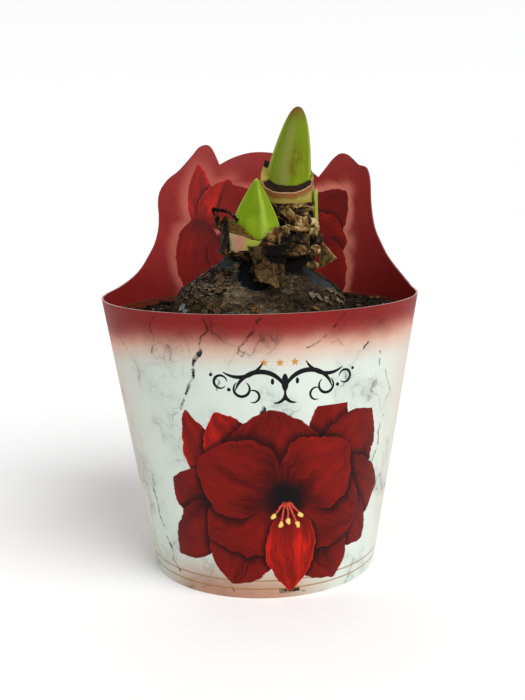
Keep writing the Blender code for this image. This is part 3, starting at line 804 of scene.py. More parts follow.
@dataclass(frozen=True)
class Marble(Finish):
    """The sleeve's outside: a marble print with a red top, gold lines, a bloom and an ornament.

    It is one print in two materials, because one would be too large for the renderer.
    """

    name: str
    upper: bool
    ornament_place: Point = (9.5, 99.6)
    ornament_scale: float = 0.9
    # For each scroll its centre, its radius, its middle and half its spread in degrees, and its width
    scrolls: Table = rows(
        "11 -7.6 11.5 92 80 1.15, 19.4 -4 3.6 -90 150 .7, 20.5 13.5 12 -104 52 .95, 29 -.8 3 20 165 .65, "
        "4.4 -6.4 4.6 205 78 .8, 14.5 -7.6 2.9 175 120 .55"
    )
    # For each dot its centre, half its width and half its height
    dots: Table = rows("0 -1.4 1.6 4.2, 0 -8.6 .9 1.4, 25.2 -4.4 .9 .9, 5.6 -.8 .8 1.5, 33.4 2.4 .8 .8")
    stars: Table = rows("1.2 106.9, 7.6 106.7, 13.6 106.8")
    star_size: float = 1.75
    gold_lines: Point = (8.5, 4.5)
    # For each crack its width and the points it passes
    cracks: str = (
        ".6, -23.6 117.5, -24.9 114, -24.7 111.1; 1.2, -24.7 111.1, -27.3 107.4; "
        "1, -27.3 107.4, -27.9 104.2, -28.4 100.8, -30.3 97.2, -31.6 92.5; .7, -31.6 92.5, -33.7 89, -35.6 85.2; "
        ".5, -35.6 85.2, -39.3 82.6, -41.6 76; .5, -35.6 85.2, -32.2 83.6; .55, -20.4 103, -16.6 99.4, -18.4 95.6; "
        "1.5, .6 86.9, -.6 83.8, 1.5 82.8; .6, -.6 83.8, -4.4 80.6, -6.6 77.6; "
        ".5, -9.4 111.2, -6.8 109.4, -5.6 112.2; .8, 47.4 112, 45.3 109.6; .55, 29 113, 32.4 114.4, 34.8 112.2; "
        ".6, 55.6 106.8, 55.8 101.4, 53.6 97, 49.2 94.4; .5, 60 98.4, 63.4 92.4, 66.1 87.2, 61.2 82.7; "
        ".7, 61.6 76.4, 57.9 69.4, 58.5 63.9, 54.2 56.9; .8, -57.6 44, -54.6 38.2, -54.9 33, -51 27.4; "
        ".8, -50 22.6, -46.2 17.4, -46.8 12.2, -41.6 7; .5, -64.3 33.9, -63.1 26.5, -61.1 14.1, -57.4 6.5; "
        "1.3, 6.6 3.6, 10 3, 13.8 3.8; .5, 13.8 3.8, 17.4 2.4; .5, -18 7.4, -14.8 5, -13.6 3.4; "
        ".5, -77.4 115.4, -68.1 110, -61.8 103.2; .6, -45.5 125.4, -49 120, -46.8 114, -48.6 109; "
        ".7, -23 125.8, -20.6 120.6, -23.6 117.5; .7, .4 126, -3 121, -8 114, -8.8 110.6; "
        ".6, 35 125.4, 29.6 119.6, 22.8 113.8, 18 112.6; .6, -120 180, -128 164, -121 149, -131 131; "
        ".6, 128 184, 139 166, 134 152, 146 138; .6, -186 172, -178 158, -188 143; "
        ".7, -110 60, -101 47, -104 36, -95 22; .8, 96 92, 104 80, 101 66, 112 52; .7, -150 96, -141 84, -144 70; "
        ".7, 150 40, 158 28, 153 14"
    )
    crack_room: float = 5.0  # how far past the border cracks are drawn
    petals: Table = rows(
        "-20 48 -20 40 8 .62, -22 44 -62 22 12 .26, -16 44 -136 37 12 .24, -8 58 -26 30 12 .95, "
        "24 62 16 34 9.5 .5, 30 56 42 34 15 .24, 30 46 96 29 17 .2, 26 44 136 33 13 .34, -4 38 -160 33 16 .38, "
        "18 36 158 33 15 .22, 6 52 -4 35 22 .34, 8 46 -116 37 19 .3, 12 46 112 36 20 .28, 12 49 54 33 18 .46, "
        "5 50 -66 36 19 .42, 11 41 178 38 11 .95"
    )
    throat_place: Point = (9.5, 47.0)
    throat_size: float = 6.4

    def paint(self, paint: Paint, place: Term) -> None:
        """Adds the print's nodes.

        Args:
            paint: The material\'s nodes.
            place: The place on the piece.
        """
        place, right, high = CONE.spread(paint, place, back=False)
        colour = self.reds(paint, self.stone(paint, place), place, right, high)
        if self.upper:
            colour = self.ornament(paint, colour, place)
        else:
            for line in self.gold_lines:
                colour = colour.tint((high - line).size().rise(0.42, 0.2) * 0.85, 144, 106, 48)
            under = paint.measure("DISTANCE", place, (*self.throat_place, 0.0))
            flower = PETALS.lay(paint, colour.tint(under.rise(9.5, 8.0), 34, 4, 6), place, self.petals)
            colour = PETALS.throat(paint, flower["Colour"], flower["Place"], self.throat_place, self.throat_size)
        grain = place.noise(0.5, 2.0) * 0.5 + place.noise(14.0, 2.0) * 0.5
        self.surface(paint, colour, 0.44 + grain * 0.1, grain, 0.05, CARD_GLOSS)

    def stone(self, paint: Paint, place: Term) -> Term:
        """Paints the marble and its cracks.

        Args:
            paint: The material's nodes.
            place: The place on the print.

        Returns:
            The colour.
        """
        cloud = place.warp(34.0, 11.0, 3.0).noise(30.0, 4.0)
        colour = paint.mix(cloud.rise(0.35, 0.75) * 0.5, srgb(204, 213, 203), srgb(184, 193, 185))
        patch = place.noise(30.0, 2.0).rise(0.46, 0.66)
        for size, width, ink, *shade in rows("34 .012 .68 92 96 94, 13 .02 .34 118 122 118"):
            line = (place.warp(size * 0.6, size * 0.22, 3.0).noise(size, 4.0, 0.5) - 0.5).size()
            vein = line.rise(width, 0.0) * patch + line.rise(width * 6.0, 0.0) * patch * 0.3
            colour = colour.tint(vein.clamp() * ink, *shade)
        jagged = place.warp(6.0, 1.5).warp(1.4, 0.6)
        ink: Number = 0.0
        side = 1.0 if self.upper else -1.0
        for crack in self.cracks.split(";"):
            (width,), *points = rows(crack)
            for start, end in zip(points, points[1:]):
                if max(side * (start[1] - BORDER), side * (end[1] - BORDER)) >= -self.crack_room:
                    ends = {"Start": (*start, 0.0), "End": (*end, 0.0)}
                    part = paint.use(STROKES.crack, Place=jagged, **ends, Width=width)["Ink"]
                    ink = (part * min(1.0, width)).over(ink)
        broken = place.noise(4.0, 4.0).rise(0.34, 0.6)
        return colour.tint((ink * (0.35 + broken * 0.75)).clamp(), 24, 26, 28)

    @staticmethod
    def reds(paint: Paint, colour: Term, place: Term, right: Term, high: Term) -> Term:
        """Paints the red that fades from the rim, pink at the sides, and pink print with painted shade at the foot.

        Args:
            paint: The material's nodes.
            colour: The print so far.
            place: The place on the print.
            right: How far right that is.
            high: How high it is.

        Returns:
            The colour with them.
        """
        mottle = place.noise(18.0) - 0.5
        level = high + mottle * 5.0 + right.rise(-44.0, -96.0) * 5.0
        colour = colour.tint(right.size().rise(44.0, 96.0) * 0.38, 196, 146, 126)
        # Towards the foot, at the front, the print turns pink and is darkened by painted shade.
        foot = high.rise(22.0, 2.0) * (right + 12.0).size().rise(56.0, 12.0)
        colour = paint.mix(foot, colour, colour.times(0.7, 0.35, 0.26))
        pale = colour.times(1.65, 1.6, 1.7)
        bands = rows("101 116 .8 202 142 118, 110 120.5 .85 150 52 48, 113 123.5 .95 124 22 24")
        for low, top, share, *shade in bands:
            colour = paint.mix(level.rise(low, top) * share, colour, pale.times(*srgb(*shade)))
        return colour

    def ornament(self, paint: Paint, colour: Term, place: Term) -> Term:
        """Prints three gold stars over a black scrolled ornament of no meaning.

        Args:
            paint: The material's nodes.
            colour: The print so far.
            place: The place on the print.

        Returns:
            The colour with them.
        """
        fifth = TAU / 5.0
        for star in self.stars:
            away = place.minus(*star)
            ax, az, _ = paint.split(away)
            turned = paint.sum("ARCTAN2", ax, az) + 2.5 * fifth
            turned = (paint.sum("FLOORED_MODULO", turned, fifth) - 0.5 * fifth).size()
            side = turned.cosine() * 0.2645 + turned.sine() * 0.636
            edge = paint.measure("LENGTH", away) * side - 0.2645 * self.star_size
            colour = colour.tint(edge.rise(0.06, -0.03), 190, 134, 58)
        away = place.minus(*self.ornament_place)
        x, z, _ = paint.split(paint.vector("SCALE", away, scale=1.0 / self.ornament_scale))
        half = paint.join(x.size(), z)
        ink: Number = 0.0
        for cx, cz, radius, middle, spread, width in self.scrolls:
            part = paint.use(STROKES.scroll, Place=half, Centre=(cx, cz, 0.0), Radius=radius,
                             Middle=math.radians(middle), Half=math.radians(spread), Width=width)["Ink"]
            ink = part.over(ink)
        for cx, cz, wide, tall in self.dots:
            spot = half.minus(cx, cz).times(1.0 / wide, 1.0 / tall, 0.0)
            ink = paint.measure("LENGTH", spot).rise(1.06, 0.92).over(ink)
        return colour.tint(ink, 16, 15, 18)


@dataclass(frozen=True)
class InnerPrint(Finish):
    """The sleeve's inside: red, with a paler halo round a printed bloom."""

    name: str = "printed_red"
    petals: Table = rows(
        "-22 147 88 52 12 .2, -30 150 -4 36 7.5 .75, -26 152 20 28 11 .95, -30 158 196 38 12 .5, "
        "-22 150 160 26 10 .4, 0 142 -24 36 15 .42, 6 142 18 36 15 .36, 26 146 44 34 13 .34, "
        "26 148 96 24 13 .68, 30 146 150 32 12 .56, 0 140 180 30 18 .4"
    )

    def paint(self, paint: Paint, place: Term) -> None:
        """Adds the print's nodes.

        Args:
            paint: The material\'s nodes.
            place: The place on the piece.
        """
        place, right, high = CONE.spread(paint, place, back=True)
        mottle = place.noise(22.0, 4.0)
        colour = paint.mix(mottle.rise(0.3, 0.7), srgb(124, 28, 27), srgb(142, 40, 38))
        # Redder and lighter towards the right: painted light that offsets the shade on that side of the panel.
        colour = colour.tint(right.rise(10.0, 56.0) * 0.6, 146, 32, 28)
        colour = colour.tint(high.rise(170.0, 192.0) * 0.5, 146, 58, 56)
        glow = PETALS.lay(paint, colour, place, self.petals)["Glow"]
        # The halo is brighter towards the right: painted light that offsets the shade on that side of the panel.
        glow = glow * (0.5 + mottle * 0.3) * high.rise(200.0, 166.0) * (0.75 + right.rise(-10.0, 36.0))
        low = colour.tint(high.rise(150.0, 118.0) * 0.5, 108, 18, 18)
        halo = low.tint(glow.clamp(), 216, 126, 108)
        speck = place.noise(0.5, 2.0)
        colour = PETALS.lay(paint, halo, place, self.petals)["Colour"].tint(0.14, 140, 40, 38)
        colour = colour.tint(speck.rise(0.35, 0.7) * 0.2, 84, 16, 16)
        grain = speck * 0.5 + place.noise(14.0, 2.0) * 0.5
        self.surface(paint, colour, 0.42 + grain * 0.1, grain, 0.05, CARD_GLOSS)


@dataclass(frozen=True)
class CutCard(Finish):
    """The card's cut edge: pale pressed fibres, printed red where the back stands up."""

    name: str = "cut_card"

    def paint(self, paint: Paint, place: Term) -> None:
        """Adds the fibres' nodes.

        Args:
            paint: The material\'s nodes.
            place: The place on the piece.
        """
        fibre = place.times(1.0, 1.0, 5.0).noise(0.6)
        _, _, high = paint.split(place)
        colour = paint.mix(fibre, srgb(160, 128, 118), srgb(214, 192, 182))
        stain = (place.noise(16.0).rise(0.4, 0.7) * 0.6).over(high.rise(127.5, 131.0) * 0.9)
        self.surface(paint, colour.tint(stain, 112, 40, 38), 0.8 + fibre * 0.1, fibre, 0.08, 0.25)


class CardSide(Enum):
    """The sides of the card, in the order of its materials."""

    FOOT_PRINT = 0
    INSIDE = 1
    CUT = 2
    RIM_PRINT = 3


@dataclass(frozen=True)
class CardSleeve:
    """The card sleeve: a cone whose back rises into a die-cut panel, glued on itself in a lap.

    The panel's outline is in degrees from the back's middle and heights.
    """

    card: float = 0.8
    left_peak: Table = rows(
        "-90 126.7, -76 127.2, -67 128.8, -60 131.2, -54.2 135, -49.4 140.4, -45.4 146.2, -42.6 153.4, "
        "-41.4 159.8, -40.9 166.6, -39.3 172.5, -35.4 178.2, -30.7 182.4, -27.4 186.4, -24.2 190.8, -21.5 194.6, "
        "-18.7 195.8, -16.6 193.4, -14.3 185.4"
    )
    middle_dome: Table = rows(
        "-14.3 185.4, -9 189, -3 191.3, 3 191.5, 9.5 189.8, 16.4 185.2, 23.7 177.9"
    )
    right_peak: Table = rows(
        "23.7 177.9, 26.2 182, 29.2 187, 32 189.7, 34.8 189.3, 37.6 186.7, 40.2 183.9, 42.8 183, 44.6 181.1, "
        "46.2 175.6, 47.4 166.7, 49 158.8, 51.2 151.9, 54.6 146, 59.5 139.6, 66 134.4, 74 130.2, 83 127.4, "
        "90 126.7"
    )
    steps: int = 7
    front_columns: int = 90
    lines: int = 65
    lap: Point = (8.0, 17.0)  # the degrees between which it lies
    lap_grid: tuple[int, int] = (12, 24)
    lap_proud: float = 0.6

    def edge(self) -> Array:
        """The top edge all round, as degrees from the back's middle and heights."""
        parts = [smooth_line(part, self.steps)[:-1] for part in (self.left_peak, self.middle_dome, self.right_peak)]
        front = np.linspace(90.0, 270.0, self.front_columns, endpoint=False)
        return np.concatenate([*parts, np.stack([front, np.full(len(front), CONE.height)], -1)])

    @staticmethod
    def skin(degrees: Array, heights: Array, proud: float) -> Array:
        """Places points on the card.

        Args:
            degrees: Degrees from the back's middle.
            heights: Heights.
            proud: How far outside the card's outside they lie.

        Returns:
            The points.
        """
        turned = np.radians(degrees)
        radius = CONE.radius(heights) + proud
        flat = at(radius * np.sin(turned), radius * np.cos(turned), heights)
        sway = lumps(flat, 46.0, 5) * 0.5 * ease(132.0, 160.0, heights)
        return flat + sway[..., None] * at(np.sin(turned), np.cos(turned), 0.0)

    def build(self) -> None:
        """Builds the sleeve."""
        form = Form()
        edge = self.edge()
        columns = len(edge)
        degrees = np.broadcast_to(edge[:, 0], (self.lines, columns))
        heights = np.linspace(0.0, 1.0, self.lines)[:, None] * edge[:, 1]
        outer, inner = (self.skin(degrees, heights, proud).reshape(-1, 3) for proud in (0.0, -self.card))
        faces = form.quads(self.lines, columns, round_columns=True)
        form.add(outer, faces)
        high = outer[:, 2][np.array(faces)].mean(1)
        form.sides = [(CardSide.RIM_PRINT if middle > BORDER else CardSide.FOOT_PRINT).value for middle in high]
        form.add(inner, [face[::-1] for face in faces], CardSide.INSIDE.value)
        total = len(outer)
        for start in (0, total - columns):
            ring = range(start, start + columns)
            form.join([(near, far, far + total, near + total) for near, far in zip(ring, [*ring[1:], start])],
                      CardSide.CUT.value)
        across, up = self.lap_grid
        degrees = np.broadcast_to(np.linspace(*self.lap, across), (up, across))
        tops = np.interp(degrees[0], edge[:, 0], edge[:, 1])
        heights = 0.3 + (tops - 0.6) * np.linspace(0.0, 1.0, up)[:, None]
        form.sheet(self.skin(degrees, heights, self.lap_proud)[:, ::-1], self.lap_proud - 0.05)
        form.build("card_sleeve", "printed_card", "sleeve", MARBLE_FOOT, INNER_PRINT, CUT_CARD, MARBLE_RIM)


@dataclass(frozen=True)
class PotPlastic(Finish):
    """Thin terracotta-coloured plastic with scuffs, dust and soil stuck to it."""

    name: str = "pot_plastic"

    def paint(self, paint: Paint, place: Term) -> None:
        """Adds the plastic's nodes.

        Args:
            paint: The material\'s nodes.
            place: The place on the piece.
        """
        _, _, high = paint.split(place)
        cloud = place.noise(9.0, 4.0)
        scuff = place.times(1.0, 1.0, 4.0).noise(1.4, 4.0)
        colour = paint.mix(cloud, srgb(72, 24, 12), srgb(106, 42, 23)).tint(scuff.rise(0.58, 0.75) * 0.3, 170, 98, 68)
        dirt = place.noise(2.2, 4.0).rise(0.5, 0.62) * high.rise(112.0, 118.5)
        colour = colour.tint(dirt * 0.75, 46, 30, 22)
        self.surface(paint, colour, 0.38 + scuff * 0.2 + dirt * 0.3, cloud * 0.4 + scuff * 0.6, 0.12, 0.15)


@dataclass(frozen=True)
class GrowingPot:
    """The thin plastic pot inside the sleeve, with a rim band and drain holes."""

    height: float = 119.5
    foot: float = 48.2
    wall: float = 1.4
    band: float = 11.5
    step: float = 2.2
    chamfer: float = 1.6
    columns: int = 160
    drains: int = 8
    drain_radius: float = 4.2
    drain_circle: float = 35.0
    drain_corners: int = 24

    def outer(self, z: float) -> float:
        """The outside radius below the rim band."""
        top = CONE.radius(self.height - self.band) - 1.1 - self.step
        return self.foot + (top - self.foot) * z / (self.height - self.band)

    def rim(self, z: float) -> float:
        """The outside radius of the rim band."""
        return CONE.radius(z) - 1.19

    def inner(self, z: float) -> float:
        """The inside radius at a height.

        Args:
            z: The height.

        Returns:
            The radius.
        """
        band = self.height - self.band
        wall = self.outer(1.0) + (self.outer(2.0) - self.outer(1.0)) * (np.minimum(z, band) - 1.0) - self.wall
        return wall + (self.rim(self.height) - self.wall - wall) * ease(band, self.height, z)

    def build(self) -> None:
        """Builds the pot."""
        top, band = self.height, self.height - self.band
        profile = [(self.rim(top) - 0.7 + 0.7 * math.cos(a), top - 0.7 + 0.7 * math.sin(a))
                   for a in np.linspace(math.pi, 0.0, 9)]
        profile += [(self.rim(band + 0.8), band + 0.8), (self.rim(band) - 0.1, band + 0.1),
                    (self.rim(band) - 0.7, band), (self.outer(band) + 0.2, band - 0.5)]
        profile += [(self.outer(z), z) for z in np.linspace(band - 2.0, self.chamfer, 14)]
        profile += [(self.foot - 0.5, 0.6), (self.foot - self.chamfer, 0.0)]
        floor = np.linspace(self.foot - self.chamfer, 8.0, 10)[1:]
        profile += [(radius, 0.0) for radius in floor]
        middle = len(profile)
        profile += [(radius, self.wall) for radius in floor[::-1]]
        inside = [*np.linspace(self.wall, band, 12), *np.linspace(band + 1.2, top - 1.2, 8)]
        outline = np.array(profile + [(self.inner(z), z) for z in inside])
        turn = turns(self.columns)
        rings = at(outline[:, :1] * np.cos(turn), outline[:, :1] * np.sin(turn), outline[:, 1:])
        form = Form()
        grid = form.quads(len(outline), self.columns, True, True)
        gap = range((middle - 1) * self.columns, middle * self.columns)
        form.add(rings.reshape(-1, 3), [face for k, face in enumerate(grid) if k not in gap])
        form.disc(gap, (0.0, 0.0, 0.0))
        form.disc([place + self.columns for place in gap], (0.0, 0.0, self.wall))
        self.drill(form.build("growing_pot", "terracotta_plastic", "nursery_pot", POT_PLASTIC))

    def drill(self, piece: bpy.types.Object) -> None:
        """Cuts the drain holes through the pot's floor.

        Args:
            piece: The pot.
        """
        cutters = Form()
        ring = turns(self.drain_corners)
        for k in range(self.drains):
            turned = TAU * (k + 0.5) / self.drains
            x = self.drain_circle * math.cos(turned) + self.drain_radius * np.cos(ring)
            y = self.drain_circle * math.sin(turned) + self.drain_radius * np.sin(ring)
            rings = np.stack([at(x, y, z) for z in (-3.0, 4.0)])
            cutters.ball(rings, rings[0].mean(0), rings[1].mean(0))
        cutter = enter("drains", cutters.mesh("drains"))
        change = piece.modifiers.new("drains", "BOOLEAN")
        change.operation, change.solver, change.object = "DIFFERENCE", "EXACT", cutter
        bpy.context.view_layer.update()
        graph = bpy.context.evaluated_depsgraph_get()
        drilled = bpy.data.meshes.new_from_object(piece.evaluated_get(graph))
        piece.modifiers.clear()
        piece.data = drilled
        bpy.data.objects.remove(cutter, do_unlink=True)


@dataclass(frozen=True)
class Peat(Finish):
    """Damp black potting soil with brown fibres in it."""

    name: str = "potting_peat"

    def paint(self, paint: Paint, place: Term) -> None:
        """Adds the soil's nodes.

        Args:
            paint: The material\'s nodes.
            place: The place on the piece.
        """
        grit = place.noise(0.9, 4.0)
        fibre = paint.mark("tone")
        colour = paint.mix(grit.rise(0.3, 0.7), srgb(10, 8, 7), srgb(40, 31, 24))
        colour = colour.tint(place.noise(3.5).rise(0.5, 0.72) * 0.5, 62, 44, 31)
        colour = colour.tint(fibre.rise(0.15, 0.5) * 0.85, 112, 76, 48).tint(fibre.rise(0.6, 1.0), 206, 198, 186)
        self.surface(paint, colour, 0.8 + grit * 0.15, grit, 0.35, 0.07)


@dataclass(frozen=True)
class PottingSoil:
    """The soil that fills the pot, with crumbs and fibres lying on it."""

    edge: float = 117.2
    tilt: float = 1.2
    middle: float = 118.2
    mouth: float = 117.0  # the height at which the pot's inside bounds its top
    side_levels: Point = (1.7, 20.0, 45.0, 70.0, 95.0, 108.0)
    bulb_levels: Point = (112.0, 104.0, 96.0, 88.0, 80.0, 72.0, 66.0, 62.0)
    columns: int = 300
    rings: int = 44
    crumbs: int = 1500
    fibres: int = 60

    def level(self, turn: Values, outwards: Values) -> Values:
        """The soil's height at an angle in radians and a share of the way to the pot, without its crumbs."""
        edge = self.edge + self.tilt * np.cos(turn - 0.5)
        return edge + (self.middle - edge) * (1.0 - ease(0.6, 1.0, outwards))

    def build(self) -> None:
        """Builds the soil."""
        form = Form()
        turn = turns(self.columns)
        cos, sin = np.cos(turn), np.sin(turn)
        rings = [at(cos * r, sin * r, z) for r, z in ((POT.inner(z) - 0.5, z) for z in self.side_levels)]
        for outwards in np.linspace(1.0, 0.585, self.rings):
            radius = (POT.inner(self.mouth) - 0.55) * outwards
            flat = at(cos * radius, sin * radius, self.level(turn, outwards))
            bumps = crumple(flat, 8.0, 3, 5) * 2.2 + np.abs(lumps(flat, 1.6, 9)) * 0.7
            flat[:, 2] += bumps * ease(1.0, 0.96, outwards) - 0.3
            rings.append(flat)
        rings += [at(cos * r, sin * r, z) for r, z in ((BULB.girth(z) + 0.4, z) for z in self.bulb_levels)]
        form.ball(np.stack(rings), (0.0, 0.0, 1.7), (0.0, 0.0, 59.0), {"tone": 0.0})
        self.scatter(form)
        form.build("peat", "peat", "soil", PEAT)

    def scatter(self, form: Form) -> None:
        """Lays crumbs and fibres on the soil.

        Args:
            form: Where to add them.
        """
        pick = np.random.default_rng(11)
        ball = bmesh.new()
        bmesh.ops.create_icosphere(ball, subdivisions=1, radius=1.0)
        points = np.array([vertex.co for vertex in ball.verts])
        faces = [tuple(vertex.index for vertex in face.verts) for face in ball.faces]
        ball.free()
        mouth = POT.inner(self.mouth) - 1.6
        for _ in range(self.crumbs):
            turn = pick.uniform(0.0, TAU)
            outwards = pick.uniform(0.58, 1.0) ** 0.7
            size = min(pick.lognormal(-0.35, 0.42), 1.9)
            lump = points * (1.0 + 0.35 * lumps(points * 3.0 + turn * 50.0, 2.0, 4)[:, None])
            lump = lump * size * np.array((1.0, pick.uniform(0.6, 1.0), pick.uniform(0.5, 0.85)))
            turned = pick.uniform(0.0, TAU)
            cos, sin = math.cos(turned), math.sin(turned)
            spin = np.array(((cos, -sin, 0), (sin, cos, 0), (0, 0, 1)))
            radius = mouth * outwards - size * outwards
            high = self.level(turn, outwards) + 0.35 * size + pick.uniform(-0.4, 0.5)
            tone = 0.0 if pick.random() > 0.12 else 0.4
            tone = 0.85 if pick.random() < 0.012 else tone
            place = (radius * math.cos(turn), radius * math.sin(turn), float(high))
            form.add(lump @ spin.T + place, faces, marks={"tone": tone})
        for _ in range(self.fibres):
            turn = pick.uniform(0.0, TAU)
            radius = mouth * pick.uniform(0.66, 0.97)
            start = np.array((radius * math.cos(turn), radius * math.sin(turn), self.middle + 0.4))
            way = np.array((pick.uniform(-1, 1), pick.uniform(-1, 1), pick.uniform(0.0, 0.5)))
            share = np.linspace(0.0, 1.0, 8)[:, None]
            length = pick.uniform(3.0, 9.0)
            path = start + way * share * length + np.array((0, 0, -1.6)) * share**2 + pick.normal(0, 0.18, (8, 3))
            flat = np.hypot(path[:, 0], path[:, 1])[:, None]
            path[:, :2] *= np.minimum(1.0, (mouth - 0.3) / np.maximum(flat, 1.0))
            form.tube(path, pick.uniform(0.09, 0.2), 5, {"tone": pick.uniform(0.3, 0.55)})


@dataclass(frozen=True)
class Tunic(Finish):
    """The bulb's grey-brown papery tunic, with bare blue-grey flesh where it has come off."""

    name: str = "bulb_tunic_skin"

    def paint(self, paint: Paint, place: Term) -> None:
        """Adds the tunic's nodes.

        Args:
            paint: The material\'s nodes.
            place: The place on the piece.
        """
        relief, bare, tone = paint.mark("relief"), paint.mark("bare"), paint.mark("tone")
        crust = paint.mark("crust")
        bent = place.times(0.55, 0.55, 2.0).warp(2.6, 1.1)
        x, _, _ = paint.split(place)
        worm = (bent.noise(1.9, 2.0, 0.5) - 0.5).size().rise(0.0, 0.11)
        scratch = (bent.times(0.8, 0.8, 1.8).noise(1.1) - 0.5).size().rise(0.0, 0.05)
        fine = place.noise(0.8, 4.0, 0.65)
        broad = place.noise(8.0)
        # Painted light: relief is painted shade, dark in the creases and light on the ridges, and the worm and
        # scratch lines are painted crease shade; the rest is random tone, darker towards +X.
        light = relief * 0.75 + (fine - 0.5) * 0.8 + (broad - 0.5) * 0.4 + 0.15 - x.rise(-12.0, 26.0) * 0.18
        light = (light - (1.0 - worm) * crust * 0.75 - (1.0 - scratch) * (1.1 - crust) * 0.42).clamp()
        colour = paint.mix(light.rise(0.0, 0.45), srgb(7, 5, 3), srgb(58, 47, 33))
        colour = colour.tint(light.rise(0.4, 0.95), 124, 111, 88)
        olive = place.noise(6.0).rise(0.5, 0.74) * (1.1 - crust)
        colour = colour.tint(olive * 0.6, 66, 54, 28)
        flesh = paint.mix(place.noise(3.0), srgb(20, 25, 28), srgb(54, 62, 64))
        colour = paint.mix(bare.rise(0.35, 0.65), colour, flesh)
        # Hollows, marked above 1, are painted near black as shade.
        colour = colour.tint(bare.rise(1.1, 1.6) * 0.93, 6, 10, 13)
        for low, high, shade in ((0.1, 0.3, (116, 92, 62)), (0.35, 0.5, (150, 136, 113)), (0.55, 0.7, (156, 112, 60)),
                                 (0.8, 0.95, (172, 182, 176))):
            part = paint.mix(fine.rise(0.3, 0.75), srgb(*(int(level * 0.3) for level in shade)), srgb(*shade))
            colour = paint.mix(tone.rise(low, high), colour, part)
        height = fine * 0.25 + worm * crust * 0.5 + scratch * 0.25
        rough = 0.75 + fine * 0.2
        rough = rough + bare.rise(0.3, 0.7) * (0.55 - rough)
        self.surface(paint, colour, rough, height, 0.7, 0.08)


